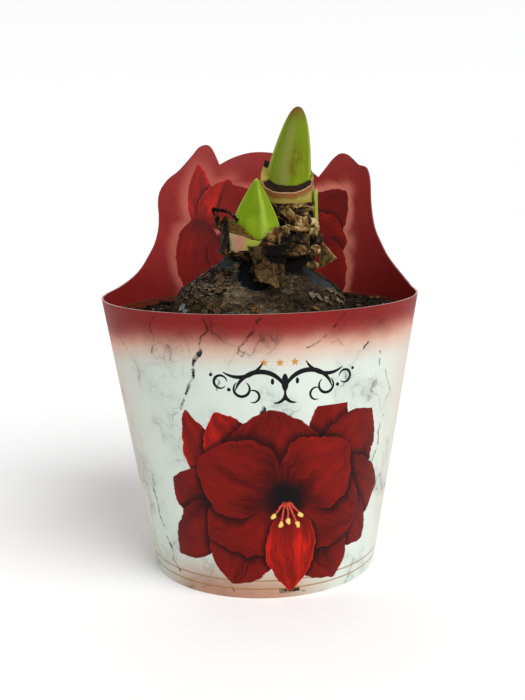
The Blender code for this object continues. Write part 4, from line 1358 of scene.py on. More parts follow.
@dataclass(frozen=True)
class Bulb:
    """The bulb with its neck, its torn tunic and its roots."""

    profile: Table = rows(
        "60 0, 60.4 10, 62 15, 65.5 21, 71 29, 78 35, 87 39.4, 97 41.2, 107 41.4, 115 40.8, 121 39.6, 126 37.4, "
        "129.6 34.6, 132.7 30.6, 135.6 26.2, 138.2 22.8, 140.6 21.2, 143.4 20.9, 145.6 20.4, 146.4 18.8, 146.4 0"
    )
    lean: float = 4.6
    bulges: Table = ((238, 2.8), (5, 1.8))
    columns: int = 420
    crowding: float = 0.42  # how much closer the columns lie at the front
    relief_from: float = 112.0  # the height above which the skin has its relief, just under the soil
    flake_grid: tuple[int, int] = (15, 13)
    low_rows: int = 20
    high_rows: int = 160
    roots: int = 7
    # Places where the tunic is off: degrees, height, half widths in degrees and millimetres, and 2 for a
    # hollow painted near black as shade or 1 for bare flesh
    bare: Table = rows(
        "245 143 5.6 4.6 2, 251 138.8 5 4.6 2, 259 135 6 2.8 2, 269 132.8 10 1.7 2, 289 134.4 1.5 3.4 2, "
        "216 142.4 18 3 1, 336 134.2 13 6 1, 20 141 60 3 1, 100 140.5 40 4 1, 150 137 14 4 1"
    )
    # Where the crust is thick, in the same way
    crusts: Table = rows("212 134 36 7.5 1, 150 131 40 8 1, 60 132 40 8 1, 10 130 24 5 1")
    # Torn bits of tunic: degrees, height, width, height, lift and tone
    flakes: Table = rows(
        "309 128.6 3 2.6 1 .5, 314 127.4 2.2 3.4 1.4 .5, 320 126 2.8 2.6 1.5 .5, 331 129.2 3.6 2.2 1.4 .5, "
        "336 128 2.8 3 1.6 .5, 341 126.4 3.2 3 1.4 .32, 328 126.2 2.6 2.4 1.2 .32, 334 124.6 3 2.2 1.2 .5, "
        "346 124 3 2.8 1.3 .32, 323 124 2.6 2 1 .32, 340 122.8 2.4 2.2 1.1 .5, 308 123 2.8 1.8 1 .72, "
        "266 124.4 2 3 1 .72, 269 123.4 1.8 2.2 1.2 .72, 246 125.8 1.8 2.6 1 .72, 242 123.4 3.4 3 1.2 .3, "
        "236 125.4 3 3.6 1.2 .3, 229 127 4.6 3 1.5 .3, 222 128.6 3.8 2.2 1.3 .32, 217 125.6 4 2.6 1.3 .3, "
        "225 123.4 4.2 2.6 1.2 .32, 233 122.4 3.6 2.2 1.2 .5, 209 123 4.2 3.2 1 .96, 214 121.6 3 2.2 1.2 .96, "
        "204 124.2 3 2.8 1 .32, 250 121.8 5 2 .9 .5, 196 127 4.2 3.2 1 .3, 226 136.6 3.4 2.6 .8 .3, "
        "233 134.4 3.2 3 .8 .2, 238 131.4 3.6 2.6 .9 .3, 205 136.4 3 2 .8 .3, 170 127 9 5 1.3 .3, "
        "120 128 10 4.6 1.3 .32, 75 127 9 5 1.2 .5, 35 126 8 5 1.3 .3, 8 125 5 4 1.2 .32"
    )

    def bulge(self, turn: Array) -> Array:
        """How far the neck swells out of round at some angles in radians."""
        return sum(b * np.maximum(0.0, np.cos(turn - math.radians(m))) ** 3 for m, b in self.bulges)

    def girth(self, z: float) -> float:
        """The radius at a height, without the relief."""
        line = smooth_line(self.profile, 3)[:-3]
        return float(np.interp(z, line[:, 0], line[:, 1]))

    def skin(self, turn: Array, z: Array, radius: Array, lift: Values = 0.0) -> Array:
        """Places points on the bulb.

        Args:
            turn: The angles in radians.
            z: The heights.
            radius: The radii there.
            lift: How far outside the skin they lie.

        Returns:
            The points.
        """
        out = radius + self.bulge(turn) * ease(136.0, 142.0, z) + lift
        lean = self.lean * ease(137.0, 144.0, z)
        return at(out * np.cos(turn) + lean, out * np.sin(turn), z)

    @staticmethod
    def patched(turn: Array, z: Array, patches: Table, ragged: Array, edge: Point, ground: float) -> Array:
        """Marks patches of the skin.

        Args:
            turn: The angles in radians.
            z: The heights.
            patches: Each patch's degrees, height, half widths in degrees and millimetres, and strength.
            ragged: How far their edge is torn, for each place.
            edge: The shares of a patch's reach between which it fades.
            ground: The strength outside them.

        Returns:
            The strength at each place.
        """
        found = np.full(turn.shape, ground)
        for degrees, height, wide, tall, strength in patches:
            away = (turn - math.radians(degrees) + math.pi) % TAU - math.pi
            reach = np.hypot(away / math.radians(wide), (z - height) / tall) + ragged
            found = np.maximum(found, strength * ease(*edge, reach))
        return found

    def relief(self, turn: Array, z: Array, radius: Array) -> tuple[Array, ...]:
        """Works out the tunic's relief and the painted shade that goes with it.

        Args:
            turn: The angles in radians.
            z: The heights.
            radius: The radii there.

        Returns:
            How far the skin stands out, the painted shade of its relief from 0 to 1 for the colour, how bare it is,
            above 1 where a hollow is painted near black as shade, and how thick its crust is.
        """
        spot = self.skin(turn, z, radius)
        flat = at(38.0 * np.cos(turn), 38.0 * np.sin(turn), z)
        ragged = 0.22 * crumple(flat, 5.0, 31) + 0.12 * lumps(flat, 1.3, 32)
        bare = self.patched(turn, z, self.bare, ragged, (1.06, 0.94), 0.0)
        crust = self.patched(turn, z, self.crusts, 0.3 * crumple(flat, 6.0, 35, 5), (1.05, 0.9), 0.12)
        bent = spot + 1.2 * crumple(spot, 4.0, 40, 2)[..., None]
        bark = creases(bent * np.array((0.8, 0.8, 1.9)), 2.8, 41)
        folds = crumple(spot * np.array((1.0, 1.0, 2.0)), 8.0, 43)
        layers = np.zeros(spot.shape[:-1])
        for k, level in enumerate((120.0, 125.5, 129.0)):
            tear = level + 4.0 * crumple(spot * np.array((1.0, 1.0, 0.3)), 11.0, 50 + k)
            layers += 0.3 * ease(0.2, -0.2, z - tear)
        covered = 1.0 - np.minimum(bare, 1.0)
        stand = ((0.45 + 0.6 * crust) * bark + 0.4 * folds + 0.45 * crust + layers - 1.0) * covered
        stand = stand - 0.8 * np.minimum(bare, 1.0) - 1.7 * np.maximum(bare - 1.0, 0.0)
        fade = ease(self.relief_from, 118.0, z) * ease(146.2, 143.0, z)
        shade = np.clip(0.12 + 0.95 * bark, 0.0, 1.0) * (0.5 + 0.5 * crust) + 0.28 * (1.0 - crust)
        return stand * fade, np.clip(shade + 0.4 * folds, 0.0, 1.0), bare, crust

    def build(self) -> None:
        """Builds the bulb."""
        form = Form()
        line = smooth_line(self.profile, 12)[1:-1]
        length = np.concatenate([[0.0], np.cumsum(np.hypot(*np.diff(line, axis=0).T))])
        bend = float(np.interp(self.relief_from, line[:220, 0], length[:220]))
        stops = np.concatenate([np.linspace(0.0, bend, self.low_rows, endpoint=False),
                                np.linspace(bend, length[-1], self.high_rows)])
        z = np.interp(stops, length, line[:, 0])[:, None]
        radius = np.interp(stops, length, line[:, 1])[:, None]
        # The columns lie closest at the front, which is at three quarters of a turn
        turn = turns(self.columns)
        turn = np.broadcast_to(turn - self.crowding * np.cos(turn), (len(stops), self.columns))
        z, radius = np.broadcast_to(z, turn.shape), np.broadcast_to(radius, turn.shape)
        stand, shade, bare, crust = self.relief(turn, z, radius)
        rings = self.skin(turn, z, radius, stand)
        marks = {"relief": shade, "bare": bare, "tone": 0.0, "crust": crust}
        form.ball(rings, (0.0, 0.0, 60.0), (self.lean, 0.0, 146.4), marks=marks)
        self.add_flakes(form)
        self.add_roots(form)
        form.build("bulb_skin", "bulb_tunic", "bulb", TUNIC)

    def add_flakes(self, form: Form) -> None:
        """Adds torn bits of tunic that stand off the skin.

        Args:
            form: Where to add it.
        """
        pick = np.random.default_rng(5)
        across, up = np.meshgrid(*(np.linspace(-1.0, 1.0, count) for count in self.flake_grid))
        for degrees, height, wide, tall, lift, tone in self.flakes:
            seed = int(pick.integers(1000))
            spot = at(across * wide, up * tall, np.full(across.shape, 1.0))
            ragged = 1.0 + 0.3 * crumple(spot, 3.0, seed)
            z = height + 0.5 * up * tall * ragged * 0.9 + 0.12 * across * wide * pick.uniform(-1, 1)
            radius = np.interp(z, *smooth_line(self.profile, 3)[:-3].T)
            turn = math.radians(degrees) + 0.5 * across * wide * ragged * (1.0 - 0.25 * up * up) / radius
            stand = 0.15 + lift * (0.25 + 0.75 * ease(1.0, -1.0, up * pick.choice((-1.0, 1.0)))) * 0.8
            stand = stand + 0.7 * crumple(spot, 2.4, seed + 1)
            marks = {"tone": tone, "relief": 0.6, "bare": 0.0}
            form.sheet(self.skin(turn, z, radius, stand), 0.28, marks=marks)

    def add_roots(self, form: Form) -> None:
        """Adds the fleshy roots under the bulb.

        Args:
            form: Where to add it.
        """
        pick = np.random.default_rng(40)
        share = np.linspace(0.0, 1.0, 16)
        for index in range(self.roots):
            turned = TAU * (index + pick.uniform(-0.2, 0.2)) / self.roots + 0.4 * np.sin(2.4 * share + index)
            radius = 9.5 + (pick.uniform(20, 32) - 9.5) * share**0.8
            z = 62.2 - pick.uniform(30, 45) * share**1.3
            path = at(radius * np.cos(turned), radius * np.sin(turned), z)
            form.tube(path, 2.05 * (1.0 - 0.45 * share), 12, marks={"tone": 0.5, "relief": 0.6})


@dataclass(frozen=True)
class Neck:
    """The neck's middle line, and the room that the two shoots take up on it."""

    main_axis: Point = (13.4, 2.2)
    main_half: Point = (13.9, 11.9)
    main_floor: float = 150.0
    second_axis: Point = (-1.2, -13.0)
    second_half: Point = (12.2, 8.3)
    second_floor: float = 146.0

    def around(self, degrees: Array, radius: Array, z: Array) -> Array:
        """Places points round the neck, following its swellings.

        Args:
            degrees: Their angles in degrees.
            radius: Their distances from its middle line.
            z: Their heights.

        Returns:
            The points.
        """
        turn = np.radians(degrees)
        out = radius + BULB.bulge(turn) * ease(14.0, 19.0, radius)
        return at(BULB.lean + out * np.cos(turn), out * np.sin(turn), z)

    @staticmethod
    def oval(axis: Point, half: Point, degrees: Array, z: Array, grow: Values = 0.0) -> Array:
        """Places points on an oval round a shoot's axis.

        Args:
            axis: The axis in X and Y.
            half: The oval's half widths in X and Y.
            degrees: The points' angles.
            z: Their heights.
            grow: How far outside the oval they lie.

        Returns:
            The points.
        """
        turn = np.radians(degrees)
        x, y = axis[0] + (half[0] + grow) * np.cos(turn), axis[1] + (half[1] + grow) * np.sin(turn)
        return at(x, y, z)

    def clear(self, points: Array, room: float) -> Array:
        """Moves points out of the shoots.

        Args:
            points: The points, changed in place.
            room: How far from the shoots' outsides they end.

        Returns:
            The same points.
        """
        for axis, half, floor in ((self.main_axis, self.main_half, self.main_floor),
                                  (self.second_axis, self.second_half, self.second_floor)):
            x, y = points[..., 0] - axis[0], points[..., 1] - axis[1]
            reach = np.maximum(np.hypot(x / (half[0] + room), y / (half[1] + room)), 1e-6)
            push = np.where((reach < 1.0) & (points[..., 2] > floor), 1.0 / reach, 1.0)
            points[..., 0], points[..., 1] = axis[0] + x * push, axis[1] + y * push
        return points


@dataclass(frozen=True)
class DryLeaf(Finish):
    """Dried, crumpled leaf: brown to tan, streaked along its length, with painted shade nearly black in its folds."""

    name: str = "dry_leaf"

    def paint(self, paint: Paint, place: Term) -> None:
        """Adds the leaf's nodes.

        Args:
            paint: The material\'s nodes.
            place: The place on the piece.
        """
        tone, fold = paint.mark("tone"), paint.mark("fold")
        across, along_it = paint.mark("across"), paint.mark("along")
        lane = paint.join(across * 26.0, along_it * 2.0, tone * 7.0)
        streak = lane.noise(1.0, 3.0, 0.6)
        patch = place.noise(4.4, 3.0, 0.55)
        fine = place.noise(0.7)
        bent = place.warp(5.0, 2.2)
        wrinkle = (bent.noise(4.6, 2.0, 0.4) - 0.5).size().rise(0.0, 0.06)
        # Painted light: fold is painted shade in the creases and highlight on the ridges, the wrinkle lines are
        # painted crease shade, and tone holds painted shade and edge highlights besides each piece's own tone.
        light = tone * 0.85 + (fold - 0.5) * 0.7 + (streak - 0.5) * 0.65 + (patch - 0.5) * 0.36 + (fine - 0.5) * 0.2
        light = (light - (1.0 - wrinkle) * 0.16).clamp()
        colour = paint.mix(light.rise(0.0, 0.34), srgb(6, 4, 3), srgb(54, 36, 17))
        colour = colour.tint(light.rise(0.28, 0.64), 116, 90, 48)
        colour = colour.tint(light.rise(0.6, 0.95), 198, 174, 126)
        rust = place.noise(3.0).rise(0.55, 0.7) * light.rise(0.1, 0.3)
        colour = colour.tint(rust * 0.45, 98, 44, 18)
        grey = paint.mark("grey") * light.rise(0.05, 0.35)
        colour = paint.mix(grey * 0.75, colour, paint.mix(streak, srgb(44, 36, 19), srgb(94, 78, 48)))
        height = streak * 0.5 + fine * 0.3 + wrinkle * 0.25
        self.surface(paint, colour, 0.5 + patch * 0.25, height, 0.4, 0.05)


@dataclass(frozen=True)
class Torn:
    """A torn or curled piece of dried leaf, drawn between a lower and an upper edge.

    It bows towards the front by bow, tones gives its tone along the way from the lower edge to the upper,
    ragged is how far its edges are torn and crumple how deeply it is crushed.
    """

    lower: str
    upper: str
    tones: Point
    bow: float = 0.8
    grey: float = 0.0
    ragged: float = 0.35
    crumple: float = 0.35
    thickness: float = 0.4
    columns: int = 46
    lines: int = 26

    def add(self, form: Form, seed: int) -> None:
        """Adds it to a form.

        Args:
            form: Where to add it.
            seed: Which of many crumplings it has.
        """
        u, v = shares(self.columns, self.lines)
        low, high = (along(smooth_line(rows(edge), 6), u) for edge in (self.lower, self.upper))
        reach = np.linalg.norm(high - low, axis=-1)
        torn = [self.ragged * crumple(at(low[..., 0], low[..., 2], side), 1.6, seed)
                for side in (0.0, 9.0)]
        share = v + (torn[0] * (1.0 - v) + torn[1] * v) / np.maximum(reach, 0.5)
        points = low + (high - low) * share[..., None]
        points[..., 0] += self.ragged * crumple(points, 1.4, seed + 9) * (2.0 * np.abs(u - 0.5)) ** 4
        swell, fold = crinkle(points, seed + 20, self.crumple, 1.0)
        points[..., 1] -= 0.45 * self.bow * np.sin(math.pi * v) ** 0.8 + swell
        points[..., 2] += 0.25 * swell
        tone = np.interp(v, np.linspace(0.0, 1.0, len(self.tones)), self.tones)
        lit = 0.3 * np.maximum.reduce([ease(0.88, 1.0, v), ease(0.06, 0.0, u), ease(0.94, 1.0, u)])
        lit = lit * (np.max(self.tones) > 0.2)
        marks = {"tone": tone + lit, "fold": fold, "across": u * 1.4, "along": v, "grey": self.grey}
        form.sheet(points, self.thickness, marks=marks)


@dataclass(frozen=True)
class Blade:
    """One dried scale: the angles it spans, its section, and how it narrows, tears and looks."""

    angles: Point
    section: str
    taper: float
    ragged: float
    tone: float
    crumple: float = 0.6
    columns: int = 48
    lines: int = 40


@dataclass(frozen=True)
class NeckScales:
    """The collar of dried scales round the neck, with the torn tunic, a side flap and a curled scale."""

    base: Table = rows(".6 146.7, 19.3 146.7, 20.4 148, 20.4 151, 18.8 154.4, 13 155.4, .6 155.4")
    base_dent: Point = (232, 264)  # the angles between which the base makes room for the second shoot
    base_columns: int = 180
    thickness: float = 0.55
    blades: tuple[Blade, ...] = (
        Blade((-84, -34), "17 148, 19 149.4, 19.4 152, 18.2 155", 0.2, 0.22, -0.2),
        Blade((-36, 20), "17 148.4, 20.8 148.2, 23 150, 22.6 154.4", 0.25, 0.25, 0.2),
        Blade((26, 72), "17 149, 21.4 150.6, 22.2 156, 21.4 163", 0.50, 0.25, 0.45),
        Blade((66, 112), "15.5 149, 18.4 153, 18.4 160, 17.6 167", 0.50, 0.22, 0.35),
        Blade((104, 150), "16 149, 19 153, 19.2 159, 18.2 164", 0.45, 0.25, 0.45),
        Blade((140, 180), "17 149, 20.4 152, 21 158, 20.4 162.5", 0.45, 0.25, 0.2),
        Blade((170, 206), "18 148, 20.6 150, 21 155, 20.2 159", 0.40, 0.2, 0.14),
        Blade((186, 232), "18.2 147.2, 20.8 147.2, 21.8 146.6, 22 145.4", 0.2, 0.3, 0.16),
    )
    # Torn pieces at the front, by their lower and upper edges
    pieces: tuple[Torn, ...] = (
        # A near-black sheet: painted shade in the hollow behind the front pieces.
        Torn("2 -20.6 146.6, 8 -20.2 146, 14 -19.4 146, 21.6 -15.6 147.4",
             "2.8 -18.8 151.6, 8 -18 154, 14 -16.4 154.6, 21.4 -13.2 153.4", (-0.4, -0.4), 0.3),
        Torn(".4 -22.6 149.8, 4.4 -22 148.9, 8.6 -20.6 148.9, 12.8 -18.8 149.3",
             "1.8 -22 152.6, 4.6 -21.2 154.9, 7.6 -19.9 157.6, 12.6 -17.6 157.6",
             (0.1, 0.2, 0.3, 0.34), 1.0, crumple=0.5, columns=60),
        Torn("9.6 -20 150.1, 11.4 -19 150, 12.9 -18 150.9",
             "9.9 -19 156.6, 12 -18 158, 13.8 -16.8 155.8", (0.3, 0.46, 0.52), 0.7, 0.4, crumple=0.3),
        Torn("16.4 -16.4 148.6, 19.2 -15.6 148.4, 22.6 -14.4 149.4",
             "16.8 -15.4 154.7, 19.7 -14.7 154.3, 22.6 -13.4 153.5", (0.3, 0.5, 0.34, 0.16), 0.9, 0.6),
        Torn("12.4 -16.6 156.2, 16.8 -15.8 154.8, 20.8 -14.8 154.6, 23.4 -13.2 154.9",
             "12.2 -15 158.6, 16.6 -14 157.2, 20.6 -13 156.6, 23.2 -11.4 156.6", (0.1, 0.62, 0.5), 0.7, 0.2),
        # A near-black sheet: painted shadow under the collar's front roll.
        Torn("2.5 -22.4 142.8, 7.3 -23 140.3, 12.5 -23.4 139.4, 17.8 -21.6 139.4, 21.1 -19 140.8",
             "4.4 -21.4 147.5, 9.2 -21.4 146.8, 14.4 -21.4 145.6, 18.2 -19.6 145.3, 21.5 -17.4 145.5",
             (-0.3, -0.35, -0.4), 0.4, crumple=0.5),
        Torn("-2 -22.6 144.9, 1.1 -23 143.8, 4.6 -23.4 142.6, 8.9 -23.6 141.9",
             "-1.6 -21.8 146.4, 1.9 -22 147.2, 5.7 -22.2 147.8, 9.4 -22.2 148", (-0.1, 0.02, 0.16), 0.6),
        Torn("-3.4 -22.8 145, 1.2 -23.4 145.5, 5.3 -23.6 146, 9.7 -23.6 145.2",
             "-1.4 -22.6 148.8, 2 -22.6 151.2, 6.8 -22.2 149.9, 9.8 -21.8 149.6",
             (0.0, 0.26, 0.18, 0.16), 0.9, crumple=0.5),
        Torn("7.8 -24.6 146.4, 12.4 -25.4 144.6, 16.6 -25 144.5, 20.2 -22.8 145, 22.8 -20.2 146",
             "8.6 -20.8 150.2, 12.7 -20 150.8, 16.2 -19.2 150, 19.8 -17.8 149.2, 22.4 -16.2 149.4",
             (-0.1, 0.26, 0.2, 0.1, 0.24, 0.0), 1.4, crumple=0.5, columns=80),
        Torn("20.8 -19.2 143, 23 -17.6 142.2, 24.9 -15.6 143",
             "21.1 -18.2 147.4, 23.1 -16.8 147.8, 24.7 -14.8 146.6", (0.1, 0.3, 0.24), 0.8),
        Torn("23.2 -14.6 145.8, 25 -13.2 144.3, 27.1 -11.6 144.7",
             "23.6 -13.4 148.6, 25.4 -12 149, 27.7 -10.4 147.8", (0.45, 0.95, 0.8), 1.0),
        Torn("20.9 -19 140.2, 22.5 -18 138.3, 24.3 -16.8 137.8, 26.4 -15.4 138.5",
             "21.2 -18 141.6, 22.9 -16.8 142, 24.8 -15.6 141.7, 26.6 -14.4 140.8", (0.4, 0.7, 0.5), 1.0, 0.3),
        Torn("-14 -19.6 144.3, -10 -21.3 142.7, -5.5 -22.3 143, -1.2 -22.9 144.2",
             "-13.7 -19.2 145.9, -10.3 -20.9 146.1, -6.1 -21.9 145.9, -1.2 -22.4 145.9",
             (-0.05, 0.12, 0.1), 0.4, ragged=1.3, crumple=0.6),
        Torn("-11 -21.2 145.2, -8.2 -21.9 144.6, -5.8 -22.4 145",
             "-10.8 -20.9 146.6, -8 -21.6 146.8, -5.4 -22 146.4", (0.1, 0.2, 0.1), 0.4, ragged=0.9),
        Torn("-17 -10.5 145.3, -16.6 -10 150.2, -16.3 -9.4 154.6, -16.8 -8.8 157.6, -17.4 -8 160.4",
             "-13.5 -19.4 145.2, -13.7 -18.2 149.5, -13.4 -17 152.9, -13.2 -15.6 156.6, -12 -14.2 161.2",
             (0.34, 0.06, 0.26), 1.0, 0.0, 1.2, 0.95),
        Torn("-19.4 -8.6 161.4, -18.8 -8.6 158.4, -17.6 -8.8 155.2",
             "-17.2 -8.6 162.4, -16.6 -9 159.6, -15.9 -9.4 156.4", (0.12, 0.36), 0.5, 0.3, 0.7),
        Torn("-9 -17.8 159.6, -10.6 -15.4 161.4, -12.7 -12.8 163.1, -15.1 -10.6 163.9, -17.3 -9.4 164.3, "
             "-19.2 -8.8 164.4",
             "-8.7 -16.6 160.7, -10.4 -13.8 162.5, -12.6 -11.2 164.1, -15 -9.2 164.9, -17.4 -8.2 165.3, "
             "-19.8 -7.9 165.8", (-0.1, -0.05, 0.2), 0.5, ragged=0.5, thickness=0.45),
        Torn("-20.3 -8.6 165.6, -20.2 -8.5 163.9, -19.5 -8.2 162.2, -18.3 -8 160.6, -17.6 -7.8 159.2",
             "-19.5 -7.8 165.9, -19.4 -7.7 163.9, -18.8 -7.5 162.5, -17.7 -7.3 161, -16.9 -7.2 159.5",
             (0.0, -0.1, 0.1), 0.4, ragged=0.8, thickness=0.45),
        Torn("28 -8.6 148.3, 26.8 -8.6 144.6, 26.7 -8.6 140.5, 27.2 -8.6 137.9",
             "28.7 -9 149.9, 31 -9.6 147.3, 33 -10.3 144.7, 35 -10.8 142.6",
             (0.5, 0.66, 0.84), 0.6, 0.5, 0.3, 0.3, 0.5),
    )
    skirt_grid: tuple[int, int] = (110, 56)
    skirt_angles: Point = (-113, -66)
    skirt_taper: Point = (10, 10)  # by how many degrees its sides come in towards its lower edge
    skirt: Table = rows("21.8 149.4, 23.6 146.2, 24.4 142.4, 27.8 138.2, 31.4 135.4, 35.4 132.4")
    lobes: Table = rows(
        "0 .46, .1 .66, .2 .78, .34 .86, .5 .92, .62 1, .68 .97, .73 .68, .78 .95, .84 .88, .9 .6, 1 .36"
    )

    def build(self) -> None:
        """Builds the scales."""
        form = Form()
        self.add_base(form)
        for index, blade in enumerate(self.blades):
            self.add_blade(form, blade, index)
        self.add_skirt(form)
        for index, piece in enumerate(self.pieces):
            piece.add(form, 300 + 40 * index)
        form.build("dry_scales", "dry_scale", "neck_scales", DRY_LEAF)

    def add_base(self, form: Form) -> None:
        """Adds the dark lump that the scales grow from.

        Args:
            form: Where to add it.
        """
        line = smooth_line(self.base, 6)
        degrees = np.arange(self.base_columns) * 360.0 / self.base_columns
        degrees = np.broadcast_to(degrees, (len(line), self.base_columns))
        radius = np.broadcast_to(line[:, :1], degrees.shape)
        z = np.broadcast_to(line[:, 1:], degrees.shape)
        spot = NECK.around(degrees, radius, z)
        swell = 0.7 * creases(spot, 4.0, 71) * ease(6.0, 16.0, radius) - 0.3
        low, high = self.base_dent
        dent = ease(low - 6.0, low, degrees) * ease(high + 6.0, high, degrees)
        swell = swell - 2.6 * dent * ease(147.4, 148.6, z) * ease(6.0, 16.0, radius)
        rings = NECK.around(degrees, radius + swell, z)
        marks = {"tone": 0.12, "fold": 0.3 + swell, "across": degrees / 60.0, "along": z / 20.0, "grey": 0.0}
        form.ball(rings, rings[0].mean(0), rings[-1].mean(0), marks=marks)

    def add_blade(self, form: Form, blade: Blade, index: int) -> None:
        """Adds one scale.

        Args:
            form: Where to add it.
            blade: The scale.
            index: Its place among the scales.
        """
        u, v = shares(blade.columns, blade.lines)
        low, high = blade.angles
        edge = at(u * 7.0, index * 3.7, 0.0)
        teeth = 0.5 + 0.55 * crumple(edge, 1.6, 80 + index)
        teeth = np.clip(teeth + 0.35 * np.abs(2.0 * u - 1.0) ** 3, 0.0, 1.3)
        section = along(smooth_line(rows(blade.section), 8), v * (1.0 - blade.ragged * teeth))
        middle = 0.5 * (low + high)
        degrees = middle + (u - 0.5) * (high - low) * (1.0 - blade.taper * v**1.5)
        degrees = degrees + 1.6 * lumps(at(v * 5.0, u, index), 1.0, 60)
        spot = NECK.around(degrees, section[..., 0], section[..., 1])
        swell, fold = crinkle(spot, 90 + index, blade.crumple, ease(0.05, 0.4, v))
        points = NECK.around(degrees, section[..., 0] + swell, section[..., 1] + 0.4 * swell)
        points = NECK.clear(points, self.thickness + 0.35)
        marks = {"tone": blade.tone + 0.12 * v, "fold": fold, "across": u, "along": v, "grey": 0.0}
        form.sheet(points, self.thickness, marks=marks)

    def add_skirt(self, form: Form) -> None:
        """Adds the torn tunic that hangs over the bulb's shoulder.

        Args:
            form: Where to add it.
        """
        u, v = shares(*self.skirt_grid)
        lobes = np.array(self.lobes)
        reach = np.interp(u, lobes[:, 0], lobes[:, 1])
        reach = reach + 0.07 * crumple(at(u * 30.0, 0.0, 0.0), 2.4, 7)
        section = along(smooth_line(self.skirt, 8), v * reach)
        low, high = self.skirt_angles[0] + self.skirt_taper[0] * v, self.skirt_angles[1] - self.skirt_taper[1] * v
        degrees = low + (high - low) * u
        spot = NECK.around(degrees, section[..., 0], section[..., 1])
        swell, fold = crinkle(spot, 120, 0.6, 1.0)
        points = NECK.around(degrees, section[..., 0] + 0.2 + swell, section[..., 1] + 0.6 * swell)
        # Painted shade: a dark line down the split and the collar's shadow across the top right; painted highlights
        # lighten the lower rim and the left end.
        split = 0.3 * np.exp(-(((u - 0.73) / 0.02) ** 2))
        tone = 0.28 - split - 0.9 * ease(0.25, 0.6, u) * ease(0.52, 0.25, v)
        tone = tone + 0.16 * np.maximum(ease(reach - 0.06, reach, v * reach), ease(0.04, 0.0, u))
        marks = {"tone": tone, "fold": 0.2 + 0.6 * fold, "across": u * 1.6, "along": v, "grey": 0.6}
        form.sheet(points, self.thickness, marks=marks)


def crinkle(spot: Array, seed: int, height: float, share: Values) -> tuple[Array, Array]:
    """Crumples a dried leaf.

    Args:
        spot: Its points.
        seed: Which of many crumplings.
        height: How strongly, in millimetres.
        share: How much of it, from 0 to 1.

    Returns:
        How far the leaf stands out, and the same from 0 to 1 as painted shade for its colour, dark in creases.
    """
    bent = spot * np.array((1.0, 1.0, 0.75)) + 1.6 * lumps(spot, 3.4, seed)[..., None]
    crushed = creases(bent, 2.4, seed + 1) - 0.45
    waves = crumple(spot, 6.0, seed + 2)
    stand = height * (0.7 * crushed + 1.2 * waves)
    return stand * share, np.clip(0.5 + 0.6 * crushed + 0.7 * waves, 0.0, 1.0)


@dataclass(frozen=True)
class BudSkin(Finish):
    """A bud's smooth green skin with fine veins along it, and a painted highlight down its left and right sides."""

    name: str
    base: Colour
    edge: Colour
    sheen: Colour
    blush: Colour
    tip: Colour
    sheen_place: float
    sheen_width: float
    sheen_share: float
    blush_place: float
    blush_share: float
    tip_from: float
    veins: float

    def paint(self, paint: Paint, place: Term) -> None:
        """Adds the bud's nodes.

        Args:
            paint: The material\'s nodes.
            place: The place on the piece.
        """
        side, rise, turn = paint.mark("side"), paint.mark("rise"), paint.mark("turn")
        vein = paint.join(turn * 60.0, rise * 2.0, 0.0).noise(1.0, 2.0)
        broad = paint.join(turn * 14.0, rise * 1.2, 3.0).noise(1.0, 2.0)
        cloud = place.noise(7.0)
        colour = paint.mix(broad.rise(0.3, 0.7) * 0.7, self.base, tuple(level * 0.6 for level in self.base))
        colour = paint.mix(vein.rise(0.45, 0.75) * self.veins, colour, self.edge)
        low = (rise + (cloud - 0.5) * 0.3).rise(0.6, 0.25) * 0.5
        # The lime at the bud's left and right sides is a painted rim highlight; towards its foot the same lime is the
        # bud's own colour.
        colour = paint.mix(side.size().rise(0.78, 0.99).over(low) * 0.7, colour, self.edge)
        strip = (side - self.sheen_place + (broad - 0.5) * 0.3 + (cloud - 0.5) * 0.2).size()
        strip = strip.rise(self.sheen_width, 0.02) * rise.rise(0.98, 0.8)
        colour = paint.mix(strip * self.sheen_share * (0.7 + vein * 0.6), colour, self.sheen)
        patch = (side - self.blush_place + (cloud - 0.5) * 0.6).size().rise(0.5, 0.05)
        patch = patch * rise.rise(0.44, 0.54) * rise.rise(0.8, 0.62)
        colour = paint.mix(patch * self.blush_share * cloud.rise(0.3, 0.6), colour, self.blush)
        colour = paint.mix((rise + (cloud - 0.5) * 0.06).rise(self.tip_from, 1.0) * 0.85, colour, self.tip)
        speck = place.cells(5.5).rise(0.075, 0.045) * place.noise(9.0, 1.0).rise(0.5, 0.6)
        colour = colour.tint(speck * 0.8, 52, 58, 18)
        height = vein * 0.7 + place.noise(0.5, 2.0) * 0.3
        self.surface(paint, colour, 0.34 + vein * 0.12 + cloud * 0.06, height, 0.12, 0.1,
                     Subsurface_Weight=0.08, Subsurface_Radius=(0.002, 0.003, 0.0006), Subsurface_Scale=1.0)


